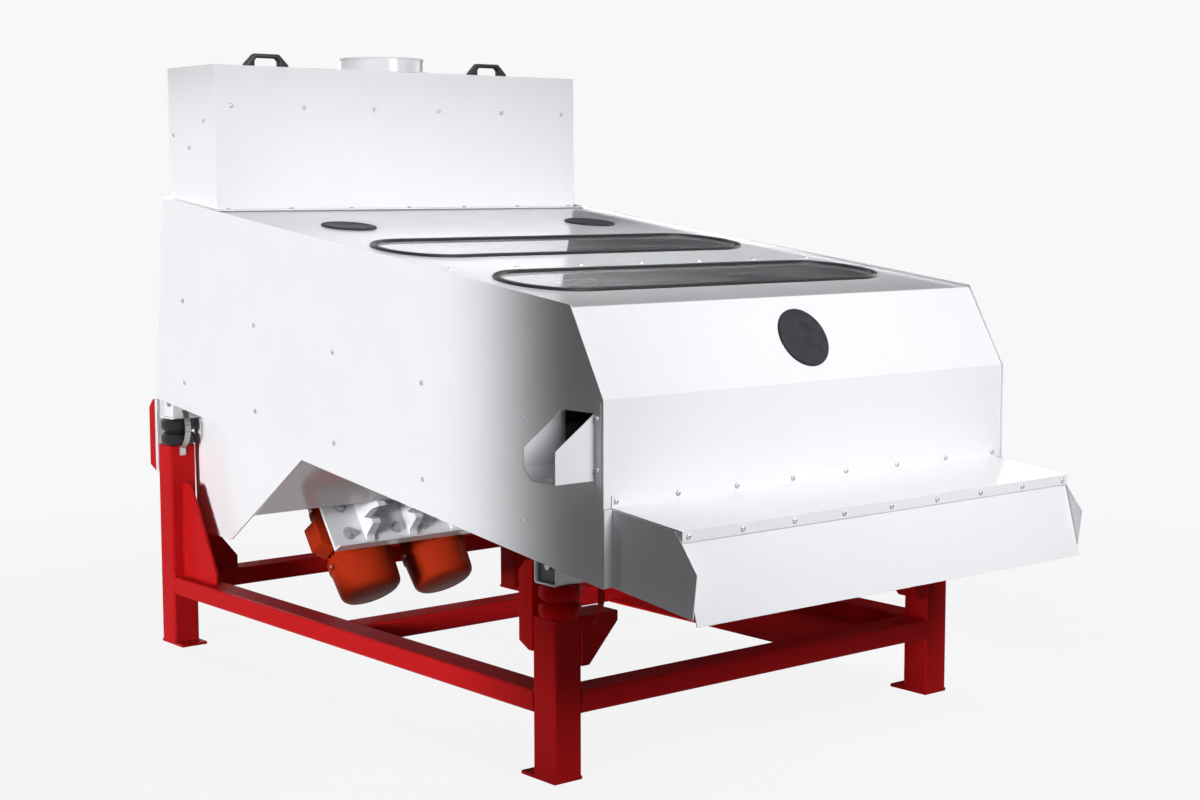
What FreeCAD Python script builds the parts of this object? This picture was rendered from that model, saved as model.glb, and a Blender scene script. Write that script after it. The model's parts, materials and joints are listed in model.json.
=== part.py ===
import FreeCAD, Part
import math
import os
import re
import Sketcher
from FreeCAD import Placement, Rotation, Vector

# Vibrating sieve for grain. +Z is up, +X runs across the machine and -Y is the discharge end.
# The origin lies on the floor in the middle of the base frame. Lengths are in millimetres.

doc = FreeCAD.newDocument("vibrating_sieve")
sheet = doc.addObject("Spreadsheet::Sheet", "Dims")

SIZES = {
    # Base frame of welded square tube
    "frame_width": 1665,
    "frame_length": 2357,
    "leg_size": 100,
    "leg_wall": 5,
    "tube_corner": 9,
    "front_leg_top": 472,
    "rear_leg_rise": 267,
    "leg_cap": 8,
    "foot_length": 155,
    "foot_thickness": 10,
    "anchor_bore": 18,
    "anchor_inset": 27.5,
    "drain_bore": 14,
    "rail_bottom": 190,
    "rail_height": 65,
    "rail_wall": 4,
    "bay_plate_share": 0.576,
    "bay_plate_thickness": 6,
    # Gussets at the rear legs and corbels at the front legs, with their height as a share of
    # the leg above the rail
    "gusset_thickness": 10,
    "gusset_reach": 236,
    "gusset_toe": 41,
    "gusset_head": 55,
    "gusset_share": 0.717,
    "cross_gusset_reach": 190,
    "cross_gusset_share": 0.552,
    "corbel_reach": 132,
    "corbel_toe": 29,
    "corbel_heel": 27,
    "corbel_share": 0.664,
    # Spring guards: a channel with a plastic pad, behind each leg head
    "guard_pad": 18,
    "guard_depth": 44,
    "guard_wall": 8,
    "guard_lip": 6,
    "front_guard_above": 155,
    "rear_guard_above": 163,
    "guard_below": 103,
    "guard_upper_chamfer": 32,
    "guard_lower_chamfer": 22,
    # Rubber springs between the legs and the cross tubes
    "spring_diameter": 122,
    "spring_land_radius": 46,
    "front_spring_height": 95,
    "rear_spring_height": 99,
    "spring_shift": 14,
    "strap_width": 22,
    "strap_thickness": 3,
    "strap_bulge": 34,
    "strap_tab": 11,
    "strap_above": 41,
    "strap_below": 18,
    "rear_strap_inset": 47.5,
    "front_strap_inset": 142.5,
    # Cross tubes that carry the sieve body
    "cross_tube_size": 100,
    "cross_tube_wall": 5,
    "front_tube_shift": 5.5,
    "rear_tube_shift": 17.5,
    # Side panels: corners from the ends of the frame and from the front springs' tops
    "body_proud": 0.5,
    "panel_thickness": 4,
    "rear_top_inset": 88.5,
    "rear_top_rise": 1077,
    "deck_slope": 6.92,
    "nose_overhang": 217.5,
    "nose_run": 141,
    "nose_rise": 543,
    "front_low_rise": 28,
    "rear_low_inset": 2.5,
    "rear_low_rise": 342,
    "panel_flange": 30,
    # Covers, with places along them as shares of the panels' top edge
    "cover_drop": 8,
    "cover_thickness": 3,
    "cover_joint_share": 0.7258,
    "cover_rear_gap": 6,
    "rear_wall_short": 45,
    "front_recess": 6,
    "front_cover_rise": 245,
    "front_flange": 25,
    "inlet_mouth_lip": 36,
    "inlet_mouth_far": 25,
    "inlet_mouth_margin": 27,
    # Windows in the top covers, and their rubber frames
    "window_margin": 83,
    "window_radius": 185,
    "window_rubber_width": 22,
    "window_rubber_height": 9,
    "window_rubber_overlap": 11,
    "pane_gap": 0.5,
    "rear_window_share": 0.5497,
    "front_window_share": 0.8324,
    # Inspection ports with plugs
    "plug_radius": 95,
    "plug_lid": 7,
    "plug_spigot_radius": 77,
    "plug_spigot": 16,
    "port_clearance": 2,
    "top_port_x_share": 0.636,
    "top_port_share": 0.3267,
    "front_port_at": 138,
    # Discharge chute at the front, from the panels' nose and the front springs' tops
    "chute_inset": 29,
    "chute_sheet": 3,
    "chute_upstand": 33,
    "chute_rise": 248,
    "chute_reach": 282,
    "chute_front_rise": 221,
    "chute_lip": 31,
    "flap_inset": 6,
    "flap_reach": 338,
    "flap_drop": 24,
    "shoulder_reach": 254,
    "shoulder_rise": 218,
    "apex_reach": 342,
    "apex_rise": 115,
    "cheek_reach": 326,
    "cheek_drop": 7,
    "cheek_rear_rise": 31,
    # Side spout for the coarse fraction, and the trough that feeds it
    "spout_setback": 36,
    "spout_width": 133,
    "spout_rise": 325,
    "spout_height": 180,
    "spout_reach": 136,
    "spout_mouth_height": 84,
    "spout_sheet": 3,
    "spout_chamfer": 30,
    "spout_flange": 27,
    "trough_fall": 70,
    "trough_rear_height": 140,
    # Sieve decks and the pan below them
    "upper_deck_depth": 310,
    "lower_deck_depth": 562,
    "pan_depth": 660,
    "upper_deck_short": 90,
    "lower_deck_extra": 145,
    "deck_rear_gap": 35,
    "deck_frame_height": 36,
    "deck_bar": 40,
    "deck_bays": 4,
    "screen_thickness": 1.5,
    "screen_edge": 6,
    "pan_thickness": 3,
    "pan_extra": 190,
    "pan_upstand": 50,
    "fines_slot_length": 120,
    "fines_slot_margin": 233,
    "fines_slot_edge": 25,
    # Motor carrier under the body: side plates, sloping wall and motor bracket
    "throw_angle": 35,
    "carrier_inset": 120,
    "carrier_plate": 6,
    "carrier_front_in": 813.5,
    "carrier_front_rise": 185,
    "carrier_toe_in": 319.5,
    "carrier_drop": 156,
    "carrier_heel_in": 117.5,
    "carrier_rear_in": 66.5,
    "carrier_rear_drop": 59,
    "carrier_top_in": 55,
    "carrier_setback": 1178.5,
    "carrier_depth": 567,
    "carrier_wall_level": 827,
    "carrier_wall_upper": 130,
    "carrier_wall_lower": 275,
    "carrier_wall_sheet": 3,
    "carrier_wall_return": 34,
    "bracket_half_width": 351,
    "bracket_face": 400,
    "bracket_plate": 12,
    "bracket_low": 711,
    "bracket_height": 290,
    "bracket_lip": 32,
    "bracket_lip_thickness": 8,
    "rib_spacing": 193,
    "rib_thickness": 34,
    "rib_height": 194,
    # Unbalance motors
    "motor_spacing": 334,
    "motor_axis": 545,
    "motor_low_end": 570,
    "motor_cap_length": 145,
    "motor_body_length": 210,
    "motor_cap_radius": 125,
    "motor_cap_top_radius": 119,
    "motor_cap_wall": 4,
    "motor_cap_round": 24,
    "motor_body_radius": 104,
    "motor_flange": 18,
    "motor_foot_half_width": 126,
    "motor_foot_length": 170,
    "motor_foot_height": 55,
    "motor_fin_count": 18,
    "motor_fin_height": 11,
    "motor_fin_thickness": 6,
    "shaft_radius": 25,
    "shaft_clearance": 0.1,
    "shaft_end_gap": 30,
    "weight_radius": 96,
    "weight_thickness": 48,
    "weight_gap": 26,
    "terminal_seat": 96,
    "terminal_seat_depth": 22,
    "terminal_out": 72,
    "terminal_width": 92,
    "terminal_length": 154,
    "terminal_low": 33,
    "motor_bolt_out": 105,
    "motor_bolt_pitch": 112,
    "motor_bolt_flats": 30,
    "motor_bolt_head": 13,
    "motor_washer": 50,
    "motor_washer_thickness": 4,
    # Inlet box with its collar, hatches and handles
    "inlet_inset": 36,
    "inlet_overhang": 10,
    "inlet_depth": 343,
    "inlet_rise": 459,
    "inlet_sheet": 3,
    "inlet_flange": 25,
    "gasket_thickness": 4,
    "collar_offset": 1.5,
    "collar_radius": 158,
    "collar_wall": 3,
    "collar_height": 54,
    "collar_bead": 4,
    "collar_flange": 26,
    "hatch_share": 0.622,
    "hatch_half_length": 190,
    "hatch_half_width": 125,
    "hatch_sheet": 3,
    "hatch_rim": 15,
    "hatch_rim_depth": 22,
    "hatch_clearance": 4,
    "handle_length": 180,
    "handle_height": 52,
    "handle_depth": 26,
    "handle_foot": 40,
    "handle_grip": 15,
    "handle_corner": 10,
    "handle_shoulder": 38,
    # Sheet metal bolts
    "bolt_flats": 17,
    "bolt_head": 6,
    "side_bolt_share": 0.2117,
    "side_bolt_inset": 222.5,
    "side_bolt_upper_rise": 708,
    "side_bolt_lower_rise": 415,
    "row_margin": 78,
    "chute_row_margin": 18,
    "box_row_margin": 62,
    "box_row_drop": 141,
    "rim_row_margin": 37,
}

# Sizes that follow from the others
DERIVED = {
    "rear_leg_top": "front_leg_top + rear_leg_rise",
    "datum": "front_leg_top + front_spring_height",
    "bay_plate_width": "(frame_width / 2 - leg_size) * bay_plate_share",
    "gusset_height": "(rear_leg_top - rail_bottom - rail_height) * gusset_share",
    "cross_gusset_height": "(rear_leg_top - rail_bottom - rail_height) * cross_gusset_share",
    "corbel_height": "(front_leg_top - rail_bottom - rail_height) * corbel_share",
    "rear_strap_x": "frame_width / 2 - rear_strap_inset",
    "front_strap_x": "frame_width / 2 - front_strap_inset",
    "body_half_width": "frame_width / 2 + body_proud",
    "panel_rear_top_y": "frame_length / 2 - rear_top_inset",
    "panel_rear_low_y": "frame_length / 2 - rear_low_inset",
    "panel_nose_y": "frame_length / 2 + nose_overhang",
    "panel_front_top_y": "panel_nose_y - nose_run",
    "panel_rear_top_z": "datum + rear_top_rise",
    "panel_rear_low_z": "datum + rear_low_rise",
    "panel_nose_z": "datum + nose_rise",
    "panel_front_low_z": "datum + front_low_rise",
    "panel_run": "panel_rear_top_y + panel_front_top_y",
    "cover_joint": "panel_run * cover_joint_share",
    "rear_window_at": "panel_run * rear_window_share",
    "front_window_at": "panel_run * front_window_share",
    "top_port_at": "panel_run * top_port_share",
    "top_port_x": "body_half_width * top_port_x_share",
    "window_half_length": "body_half_width - window_margin",
    "rear_wall_depth": "rear_top_rise - rear_low_rise - rear_wall_short",
    "front_cover_low_z": "datum + front_cover_rise",
    "inlet_half_width": "body_half_width - inlet_inset",
    "inlet_mouth_half_width": "inlet_half_width - inlet_mouth_margin",
    "inlet_mouth_near": "inlet_depth - inlet_mouth_lip",
    "inlet_rear_y": "panel_rear_top_y + inlet_overhang",
    "inlet_front_y": "inlet_rear_y - inlet_depth",
    "inlet_top_z": "panel_rear_top_z + inlet_rise",
    "collar_y": "inlet_rear_y - inlet_depth / 2 - collar_offset",
    "hatch_x": "inlet_half_width * hatch_share",
    "chute_half_width": "body_half_width - chute_inset",
    "flap_half_width": "chute_half_width - flap_inset",
    "chute_rear_z": "datum + chute_rise",
    "chute_front_y": "panel_nose_y + chute_reach",
    "chute_front_z": "datum + chute_front_rise",
    "flap_low_y": "panel_nose_y + flap_reach",
    "flap_low_z": "datum - flap_drop",
    "cheek_shoulder_y": "panel_nose_y + shoulder_reach",
    "cheek_shoulder_z": "datum + shoulder_rise",
    "cheek_apex_y": "panel_nose_y + apex_reach",
    "cheek_apex_z": "datum + apex_rise",
    "cheek_low_y": "panel_nose_y + cheek_reach",
    "cheek_low_z": "datum - cheek_drop",
    "cheek_rear_low_z": "datum + cheek_rear_rise",
    "spout_front_y": "panel_nose_y - spout_setback",
    "spout_floor_z": "datum + spout_rise",
    "upper_deck_length": "panel_run - upper_deck_short",
    "lower_deck_length": "panel_run + lower_deck_extra",
    "pan_length": "panel_run + pan_extra",
    "fines_slot_half_width": "body_half_width - fines_slot_margin",
    "carrier_half_width": "body_half_width - carrier_inset",
    "carrier_front_y": "frame_length / 2 - carrier_front_in",
    "carrier_front_z": "datum + carrier_front_rise",
    "carrier_toe_y": "frame_length / 2 - carrier_toe_in",
    "carrier_low_z": "datum - carrier_drop",
    "carrier_heel_y": "frame_length / 2 - carrier_heel_in",
    "carrier_rear_y": "frame_length / 2 - carrier_rear_in",
    "carrier_rear_z": "datum - carrier_rear_drop",
    "carrier_top_y": "frame_length / 2 - carrier_top_in",
    "carrier_origin_y": "frame_length / 2 - carrier_setback",
    "carrier_origin_z": "datum - carrier_depth",
}

for row, (name, number) in enumerate(SIZES.items(), start=1):
    sheet.set(f"A{row}", name)
    sheet.set(f"B{row}", str(number))
    sheet.setAlias(f"B{row}", name)
doc.recompute()
probe = doc.addObject("Spreadsheet::Sheet", "Probe")

NAME = re.compile(r"[a-z_]+")
ROLES = {"XY": "XY_Plane", "XZ": "XZ_Plane", "YZ": "YZ_Plane"}
SIDES = {"left": -1, "right": 1}
ENDS = {"front": -1, "rear": 1}
nodes = {}


def bound(text):
    """Turns size names in a formula into references to the sheet."""

    def reference(match):
        name = match.group(0)
        if name in DERIVED:
            return "(" + bound(DERIVED[name]) + ")"
        return "Dims." + name if name in SIZES else name

    return NAME.sub(reference, str(text))


def size(text):
    """The present value of a size or formula."""
    probe.set("A1", "=" + bound(text))
    probe.recompute()
    return float(probe.get("A1"))


def top_line(y, drop="0"):
    """Height of the panels' top edge at y, less a drop measured straight down."""
    return f"(panel_rear_top_z - ({drop}) + (({y}) - panel_rear_top_y) * tan(deck_slope))"


def new_body(label):
    body = doc.addObject("PartDesign::Body", label)
    body.Label = label
    return body


def tilt(body, angle, y="0", z="0"):
    """Turns a body about X and puts its origin at y and z."""
    body.Placement = Placement(Vector(0, 0, 0), Rotation(Vector(1, 0, 0), 10))
    body.setExpression("Placement.Rotation.Angle", bound(angle))
    body.setExpression("Placement.Base.y", bound(y))
    body.setExpression("Placement.Base.z", bound(z))


def cover_frame(body):
    """Lies a body on the sloping top: y runs up the slope from its rear edge, z is square to it."""
    tilt(body, "deck_slope", "panel_rear_top_y", "panel_rear_top_z - cover_drop")


def carrier_frame(body):
    """Turns a body to the motors: z runs up along their shafts, -y is the direction of throw."""
    tilt(body, "-throw_angle", "carrier_origin_y", "carrier_origin_z")


def new_sketch(body, plane, offset="0"):
    """A sketch on one of the body's own planes, moved along that plane's normal."""
    sketch = body.newObject("Sketcher::SketchObject", body.Label + "_sketch")
    base = [item for item in body.Origin.OriginFeatures if item.Role == ROLES[plane]][0]
    sketch.AttachmentSupport = (base, "")
    sketch.MapMode = "FlatFace"
    sketch.setExpression("AttachmentOffset.Base.z", bound(offset))
    return sketch


def pin_point(sketch, index, point, x, y):
    """Binds a point's two coordinates to formulas."""
    for kind, text in (("DistanceX", x), ("DistanceY", y)):
        number = sketch.addConstraint(Sketcher.Constraint(kind, index, point, size(text)))
        sketch.setExpression(f"Constraints[{number}]", bound(text))


def outline(sketch, points):
    """A closed outline of straight lines whose corners are bound to formulas."""
    first = sketch.GeometryCount
    count = len(points)
    corners = [Vector(size(x), size(y), 0) for x, y in points]
    for step in range(count):
        sketch.addGeometry(Part.LineSegment(corners[step], corners[(step + 1) % count]), False)
    for step in range(count):
        after = first + (step + 1) % count
        sketch.addConstraint(Sketcher.Constraint("Coincident", first + step, 2, after, 1))
    for step, (x, y) in enumerate(points):
        pin_point(sketch, first + step, 1, x, y)


def rectangle(sketch, x_low, y_low, x_high, y_high):
    outline(sketch, [(x_low, y_low), (x_high, y_low), (x_high, y_high), (x_low, y_high)])


def circle(sketch, x, y, diameter):
    ring = Part.Circle(Vector(size(x), size(y), 0), Vector(0, 0, 1), size(diameter) / 2)
    index = sketch.addGeometry(ring, False)
    pin_point(sketch, index, 3, x, y)
    number = sketch.addConstraint(Sketcher.Constraint("Diameter", index, size(diameter)))
    sketch.setExpression(f"Constraints[{number}]", bound(diameter))


def rounded(sketch, corners, radius):
    """A closed outline with an arc round each centre in corners, joined by tangent lines."""
    first = sketch.GeometryCount
    count = len(corners)
    span = 90 if count == 4 else 180
    start_angle = [180, 270, 0, 90] if count == 4 else [270, 90]
    for step, (x, y) in enumerate(corners):
        low = math.radians(start_angle[step])
        ring = Part.Circle(Vector(size(x), size(y), 0), Vector(0, 0, 1), size(radius))
        sketch.addGeometry(Part.ArcOfCircle(ring, low, low + math.radians(span)), False)
    for step in range(count):
        here = sketch.getPoint(first + step, 2)
        there = sketch.getPoint(first + (step + 1) % count, 1)
        sketch.addGeometry(Part.LineSegment(here, there), False)
    for step in range(count):
        line = first + count + step
        after = first + (step + 1) % count
        sketch.addConstraint(Sketcher.Constraint("Tangent", first + step, 2, line, 1))
        sketch.addConstraint(Sketcher.Constraint("Tangent", line, 2, after, 1))
    number = sketch.addConstraint(Sketcher.Constraint("Radius", first, size(radius)))
    sketch.setExpression(f"Constraints[{number}]", bound(radius))
    for step in range(1, count):
        sketch.addConstraint(Sketcher.Constraint("Equal", first, first + step))
    for step, (x, y) in enumerate(corners):
        pin_point(sketch, first + step, 3, x, y)


def rounded_rectangle(sketch, x_low, y_low, x_high, y_high, radius):
    left, right = f"({x_low}) + ({radius})", f"({x_high}) - ({radius})"
    low, high = f"({y_low}) + ({radius})", f"({y_high}) - ({radius})"
    rounded(sketch, [(left, low), (right, low), (right, high), (left, high)], radius)


def slot(sketch, half_length, y, radius):
    """A stadium shape across X: two half circles joined by straight lines."""
    reach = f"({half_length}) - ({radius})"
    rounded(sketch, [(reach, y), (f"-({reach})", y)], radius)


def feature(body, kind, sketch, length, symmetric=False, backwards=False):
    item = body.newObject("PartDesign::" + kind, body.Label + "_" + kind.lower())
    item.Profile = sketch
    item.setExpression("Length", bound(length))
    if symmetric:
        item.SideType = "Symmetric"
    item.Reversed = backwards
    sketch.Visibility = False
    return item


def pad(body, sketch, length, symmetric=False):
    return feature(body, "Pad", sketch, length, symmetric)


def pocket(body, sketch, length, symmetric=False, along=True):
    """Cuts along the sketch's normal, or against it where along is False."""
    return feature(body, "Pocket", sketch, length, symmetric, backwards=along)


def revolve(body, sketch):
    """Turns a sketch on the XZ plane once round Z."""
    item = body.newObject("PartDesign::Revolution", body.Label + "_turn")
    item.Profile = sketch
    item.ReferenceAxis = (sketch, ["V_Axis"])
    item.Angle = 360
    return item


def pattern(body, original, kind, axis, count, **settings):
    """A linear or polar pattern about one of the body's own axes."""
    item = body.newObject("PartDesign::" + kind, body.Label + "_pattern")
    item.Originals = [original]
    lines = [line for line in body.Origin.OriginFeatures if line.Role == axis]
    setattr(item, "Direction" if kind == "LinearPattern" else "Axis", (lines[0], [""]))
    for name, text in settings.items():
        item.setExpression(name, bound(text))
    item.setExpression("Occurrences", bound(count))
    body.Tip = item
    return item


def plate_yz(label, points, x_low, thickness):
    """A flat plate across X, from its outline in Y and Z."""
    body = new_body(label)
    sketch = new_sketch(body, "YZ", x_low)
    outline(sketch, points)
    pad(body, sketch, thickness)
    return body


def plate_xz(label, points, y_high, thickness):
    """A flat plate across Y, from its outline in X and Z. It reaches from y_high towards -Y."""
    body = new_body(label)
    sketch = new_sketch(body, "XZ", f"-({y_high})")
    outline(sketch, points)
    pad(body, sketch, thickness)
    return body


def bent_sheet(label, points, half_width):
    """A folded sheet that runs across the machine, from its section in Y and Z."""
    body = new_body(label)
    sketch = new_sketch(body, "YZ")
    outline(sketch, points)
    pad(body, sketch, f"2 * ({half_width})", symmetric=True)
    return body


def block(label, x, y, z, dx, dy, dz):
    box = doc.addObject("Part::Box", label)
    for name, text in (("Length", dx), ("Width", dy), ("Height", dz)):
        box.setExpression(name, bound(text))
    for name, text in (("x", x), ("y", y), ("z", z)):
        box.setExpression("Placement.Base." + name, bound(text))
    return box


def group(label, pieces):
    """Several like pieces under one name."""
    compound = doc.addObject("Part::Compound", label)
    compound.Links = pieces
    return compound


def low_side(side, outer, thickness):
    """Lowest X of a sheet whose outer face is at that distance from the middle."""
    return f"-({outer})" if side < 0 else f"({outer}) - ({thickness})"


# Legs: square tube with a foot plate at the bottom and a cap that carries the spring

LEG_TOP = {"front": "front_leg_top", "rear": "rear_leg_top"}
RAIL_TOP = "(rail_bottom + rail_height)"
INNER_X = "(frame_width / 2 - leg_size)"
INNER_Y = "(frame_length / 2 - leg_size)"


def leg_span(sign, half, depth):
    """Low and high coordinate of a stretch that starts at the frame's outer face."""
    if sign < 0:
        return f"-({half})", f"-({half}) + ({depth})"
    return f"({half}) - ({depth})", f"({half})"


for end, end_sign in ENDS.items():
    for side, sign in SIDES.items():
        leg = new_body(f"leg_{end}_{side}")
        x_low, x_high = leg_span(sign, "frame_width / 2", "leg_size")
        y_low, y_high = leg_span(end_sign, "frame_length / 2", "leg_size")
        tube = new_sketch(leg, "XY")
        rounded_rectangle(tube, x_low, y_low, x_high, y_high, "tube_corner")
        pad(leg, tube, LEG_TOP[end])
        foot_low, foot_high = leg_span(end_sign, "frame_length / 2", "foot_length")
        foot = new_sketch(leg, "XY")
        rectangle(foot, x_low, foot_low, x_high, foot_high)
        pad(leg, foot, "foot_thickness")
        hollow = new_sketch(leg, "XY", "foot_thickness")
        rectangle(hollow, f"{x_low} + leg_wall", f"{y_low} + leg_wall",
                  f"{x_high} - leg_wall", f"{y_high} - leg_wall")
        pocket(leg, hollow, f"{LEG_TOP[end]} - foot_thickness - leg_cap")
        holes = new_sketch(leg, "XY")
        middle_x = f"{sign} * (frame_width / 2 - leg_size / 2)"
        circle(holes, middle_x, f"{end_sign} * ({INNER_Y} - anchor_inset)", "anchor_bore")
        circle(holes, middle_x, f"{end_sign} * (frame_length / 2 - leg_size / 2)", "drain_bore")
        pocket(leg, holes, "foot_thickness")
        nodes[leg.Label] = leg

# Rails of rectangular tube between the legs, flush with their outer faces

for side, sign in SIDES.items():
    rail = new_body(f"rail_{side}")
    x_low, x_high = leg_span(sign, "frame_width / 2", "leg_size")
    section = new_sketch(rail, "XZ")
    rounded_rectangle(section, x_low, "rail_bottom", x_high, RAIL_TOP, "tube_corner")
    rectangle(section, f"{x_low} + rail_wall", "rail_bottom + rail_wall",
              f"{x_high} - rail_wall", f"{RAIL_TOP} - rail_wall")
    pad(rail, section, f"2 * {INNER_Y}", symmetric=True)
    nodes[rail.Label] = rail

CROSS_RAILS = {
    "rail_front": leg_span(-1, "frame_length / 2", "leg_size"),
    "rail_middle": ("-leg_size / 2", "leg_size / 2"),
    "rail_rear": leg_span(1, "frame_length / 2", "leg_size"),
}
for label, (y_low, y_high) in CROSS_RAILS.items():
    rail = new_body(label)
    section = new_sketch(rail, "YZ")
    rounded_rectangle(section, y_low, "rail_bottom", y_high, RAIL_TOP, "tube_corner")
    rectangle(section, f"{y_low} + rail_wall", "rail_bottom + rail_wall",
              f"{y_high} - rail_wall", f"{RAIL_TOP} - rail_wall")
    pad(rail, section, f"2 * {INNER_X}", symmetric=True)
    nodes[label] = rail

# Plate in the right front bay of the frame

nodes["bay_plate"] = block("bay_plate", f"{INNER_X} - bay_plate_width", f"-{INNER_Y}", "rail_bottom",
                           "bay_plate_width", f"{INNER_Y} - leg_size / 2", "bay_plate_thickness")

# Gussets of the rear legs, one along each side rail and one along the rear rail, and front corbels

gussets = []
for side, sign in SIDES.items():
    heel, toe = INNER_Y, f"{INNER_Y} - gusset_reach"
    crest = f"{RAIL_TOP} + gusset_height"
    gussets.append(plate_yz(
        f"gusset_along_{side}",
        [(heel, RAIL_TOP), (toe, RAIL_TOP), (toe, f"{RAIL_TOP} + gusset_toe"),
         (f"{heel} - gusset_head", crest), (heel, crest)],
        f"{sign} * (frame_width / 2 - leg_size / 2) - gusset_thickness / 2", "gusset_thickness"))
    heel, toe = f"{sign} * {INNER_X}", f"{sign} * ({INNER_X} - cross_gusset_reach)"
    gussets.append(plate_xz(
        f"gusset_across_{side}",
        [(heel, RAIL_TOP), (toe, RAIL_TOP), (toe, f"{RAIL_TOP} + gusset_toe"),
         (heel, f"{RAIL_TOP} + cross_gusset_height")],
        "frame_length / 2 - leg_size / 2 + gusset_thickness / 2", "gusset_thickness"))
    reach = f"{sign} * ({INNER_X} - corbel_reach)"
    step = f"{sign} * ({INNER_X} - corbel_heel)"
    low = "front_leg_top - corbel_height"
    gussets.append(plate_xz(
        f"corbel_{side}",
        [(heel, "front_leg_top"), (reach, "front_leg_top"), (reach, "front_leg_top - corbel_toe"),
         (step, low), (heel, low)],
        f"-{INNER_Y}", "leg_size"))
nodes["leg_gussets"] = group("leg_gussets", gussets)

# Spring guards: a channel stands behind each leg head, over a plastic pad

guards, pads = [], []
LEG_BACK = {"front": f"(-{INNER_Y})", "rear": "(frame_length / 2)"}
for end in ENDS:
    for side, sign in SIDES.items():
        x_low, x_high = leg_span(sign, "frame_width / 2", "leg_size")
        z_low, z_high = f"{LEG_TOP[end]} - guard_below", f"{LEG_TOP[end]} + {end}_guard_above"
        near = f"{LEG_BACK[end]} + guard_pad"
        far = f"{near} + guard_depth"
        guard = plate_yz(
            f"guard_{end}_{side}",
            [(near, z_low), (far, f"{z_low} + guard_lower_chamfer"),
             (far, f"{z_high} - guard_upper_chamfer"), (f"{near} + guard_lip + guard_wall", z_high),
             (near, z_high)],
            x_low, "leg_size")
        inside = new_sketch(guard, "YZ", f"{x_low} + guard_wall")
        rectangle(inside, f"{near} + guard_wall", f"{z_low} - guard_wall",
                  f"{far} + guard_wall", f"{z_high} + guard_wall")
        pocket(guard, inside, "leg_size - 2 * guard_wall")
        guards.append(guard)
        pads.append(block(f"pad_{end}_{side}", x_low, LEG_BACK[end], z_low,
                          "leg_size", "guard_pad", f"{end}_guard_above + guard_below"))
nodes["spring_guards"] = group("spring_guards", guards)
nodes["guard_pads"] = group("guard_pads", pads)

# Rubber springs: two bulging rings, one on the other, on a core

SPRING_HEIGHT = {"front": "front_spring_height", "rear": "rear_spring_height"}
for end, end_sign in ENDS.items():
    for side, sign in SIDES.items():
        label = f"spring_{end}_{side}"
        height = SPRING_HEIGHT[end]
        centre_x = f"{sign} * (frame_width / 2 - leg_size / 2)"
        centre_y = f"{end_sign} * (frame_length / 2 - leg_size / 2) - spring_shift"
        core = doc.addObject("Part::Cylinder", label + "_core")
        core.setExpression("Radius", bound("spring_land_radius"))
        core.setExpression("Height", bound(height))
        pieces = [(core, LEG_TOP[end])]
        for step in (1, 3):
            ring = doc.addObject("Part::Torus", label + "_ring")
            ring.setExpression("Radius1", bound(f"spring_diameter / 2 - {height} / 4"))
            ring.setExpression("Radius2", bound(f"{height} / 4"))
            pieces.append((ring, f"{LEG_TOP[end]} + {step} * {height} / 4"))
        for piece, z in pieces:
            piece.setExpression("Placement.Base.x", bound(centre_x))
            piece.setExpression("Placement.Base.y", bound(centre_y))
            piece.setExpression("Placement.Base.z", bound(z))
        spring = doc.addObject("Part::MultiFuse", label)
        spring.Shapes = [piece for piece, z in pieces]
        nodes[label] = spring

# Cross tubes of the body, which rest on the springs

TUBE_MIDDLE = {
    "front": "(-frame_length / 2 + leg_size / 2 - front_tube_shift)",
    "rear": "(frame_length / 2 - leg_size / 2 - rear_tube_shift)",
}
TUBE_LOW = {end: f"({LEG_TOP[end]} + {SPRING_HEIGHT[end]})" for end in ENDS}
BODY_INNER = "(body_half_width - panel_thickness)"
for end in ENDS:
    tube = new_body(f"cross_tube_{end}")
    section = new_sketch(tube, "YZ")
    y_low, y_high = f"{TUBE_MIDDLE[end]} - cross_tube_size / 2", f"{TUBE_MIDDLE[end]} + cross_tube_size / 2"
    z_low, z_high = TUBE_LOW[end], f"{TUBE_LOW[end]} + cross_tube_size"
    rounded_rectangle(section, y_low, z_low, y_high, z_high, "tube_corner")
    rounded_rectangle(section, f"{y_low} + cross_tube_wall", f"{z_low} + cross_tube_wall",
                      f"{y_high} - cross_tube_wall", f"{z_high} - cross_tube_wall",
                      "(tube_corner - cross_tube_wall)")
    pad(tube, section, f"2 * {BODY_INNER}", symmetric=True)
    nodes[tube.Label] = tube

# Side panels, with an inward flange under the covers and the mouth of the side spout

PANEL = [
    ("panel_rear_top_y", "panel_rear_top_z"),
    ("panel_rear_low_y", "panel_rear_low_z"),
    ("-panel_nose_y", "panel_front_low_z"),
    ("-panel_nose_y", "panel_nose_z"),
    ("-panel_front_top_y", top_line("-panel_front_top_y")),
]
COVER_FALL = "(cover_thickness / cos(deck_slope))"
for side, sign in SIDES.items():
    panel = plate_yz(f"side_panel_{side}", PANEL,
                     low_side(sign, "body_half_width", "panel_thickness"), "panel_thickness")
    flange = new_sketch(panel, "YZ", low_side(sign, BODY_INNER, "panel_flange"))
    upper = f"cover_drop + {COVER_FALL}"
    lower = f"{upper} + panel_thickness"
    ends = ("inlet_front_y", "-panel_front_top_y + 2 * panel_flange")
    outline(flange, [(ends[0], top_line(ends[0], upper)), (ends[1], top_line(ends[1], upper)),
                     (ends[1], top_line(ends[1], lower)), (ends[0], top_line(ends[0], lower))])
    pad(panel, flange, "panel_flange")
    if side == "left":
        mouth = new_sketch(panel, "YZ", low_side(sign, "body_half_width", "panel_thickness"))
        rectangle(mouth, "-spout_front_y", "spout_floor_z",
                  "-spout_front_y + spout_width", "spout_floor_z + spout_height")
        pocket(panel, mouth, "panel_thickness")
    nodes[panel.Label] = panel

# Top covers: two sheets that meet under a row of bolts, with windows, ports and the inlet mouth

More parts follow.
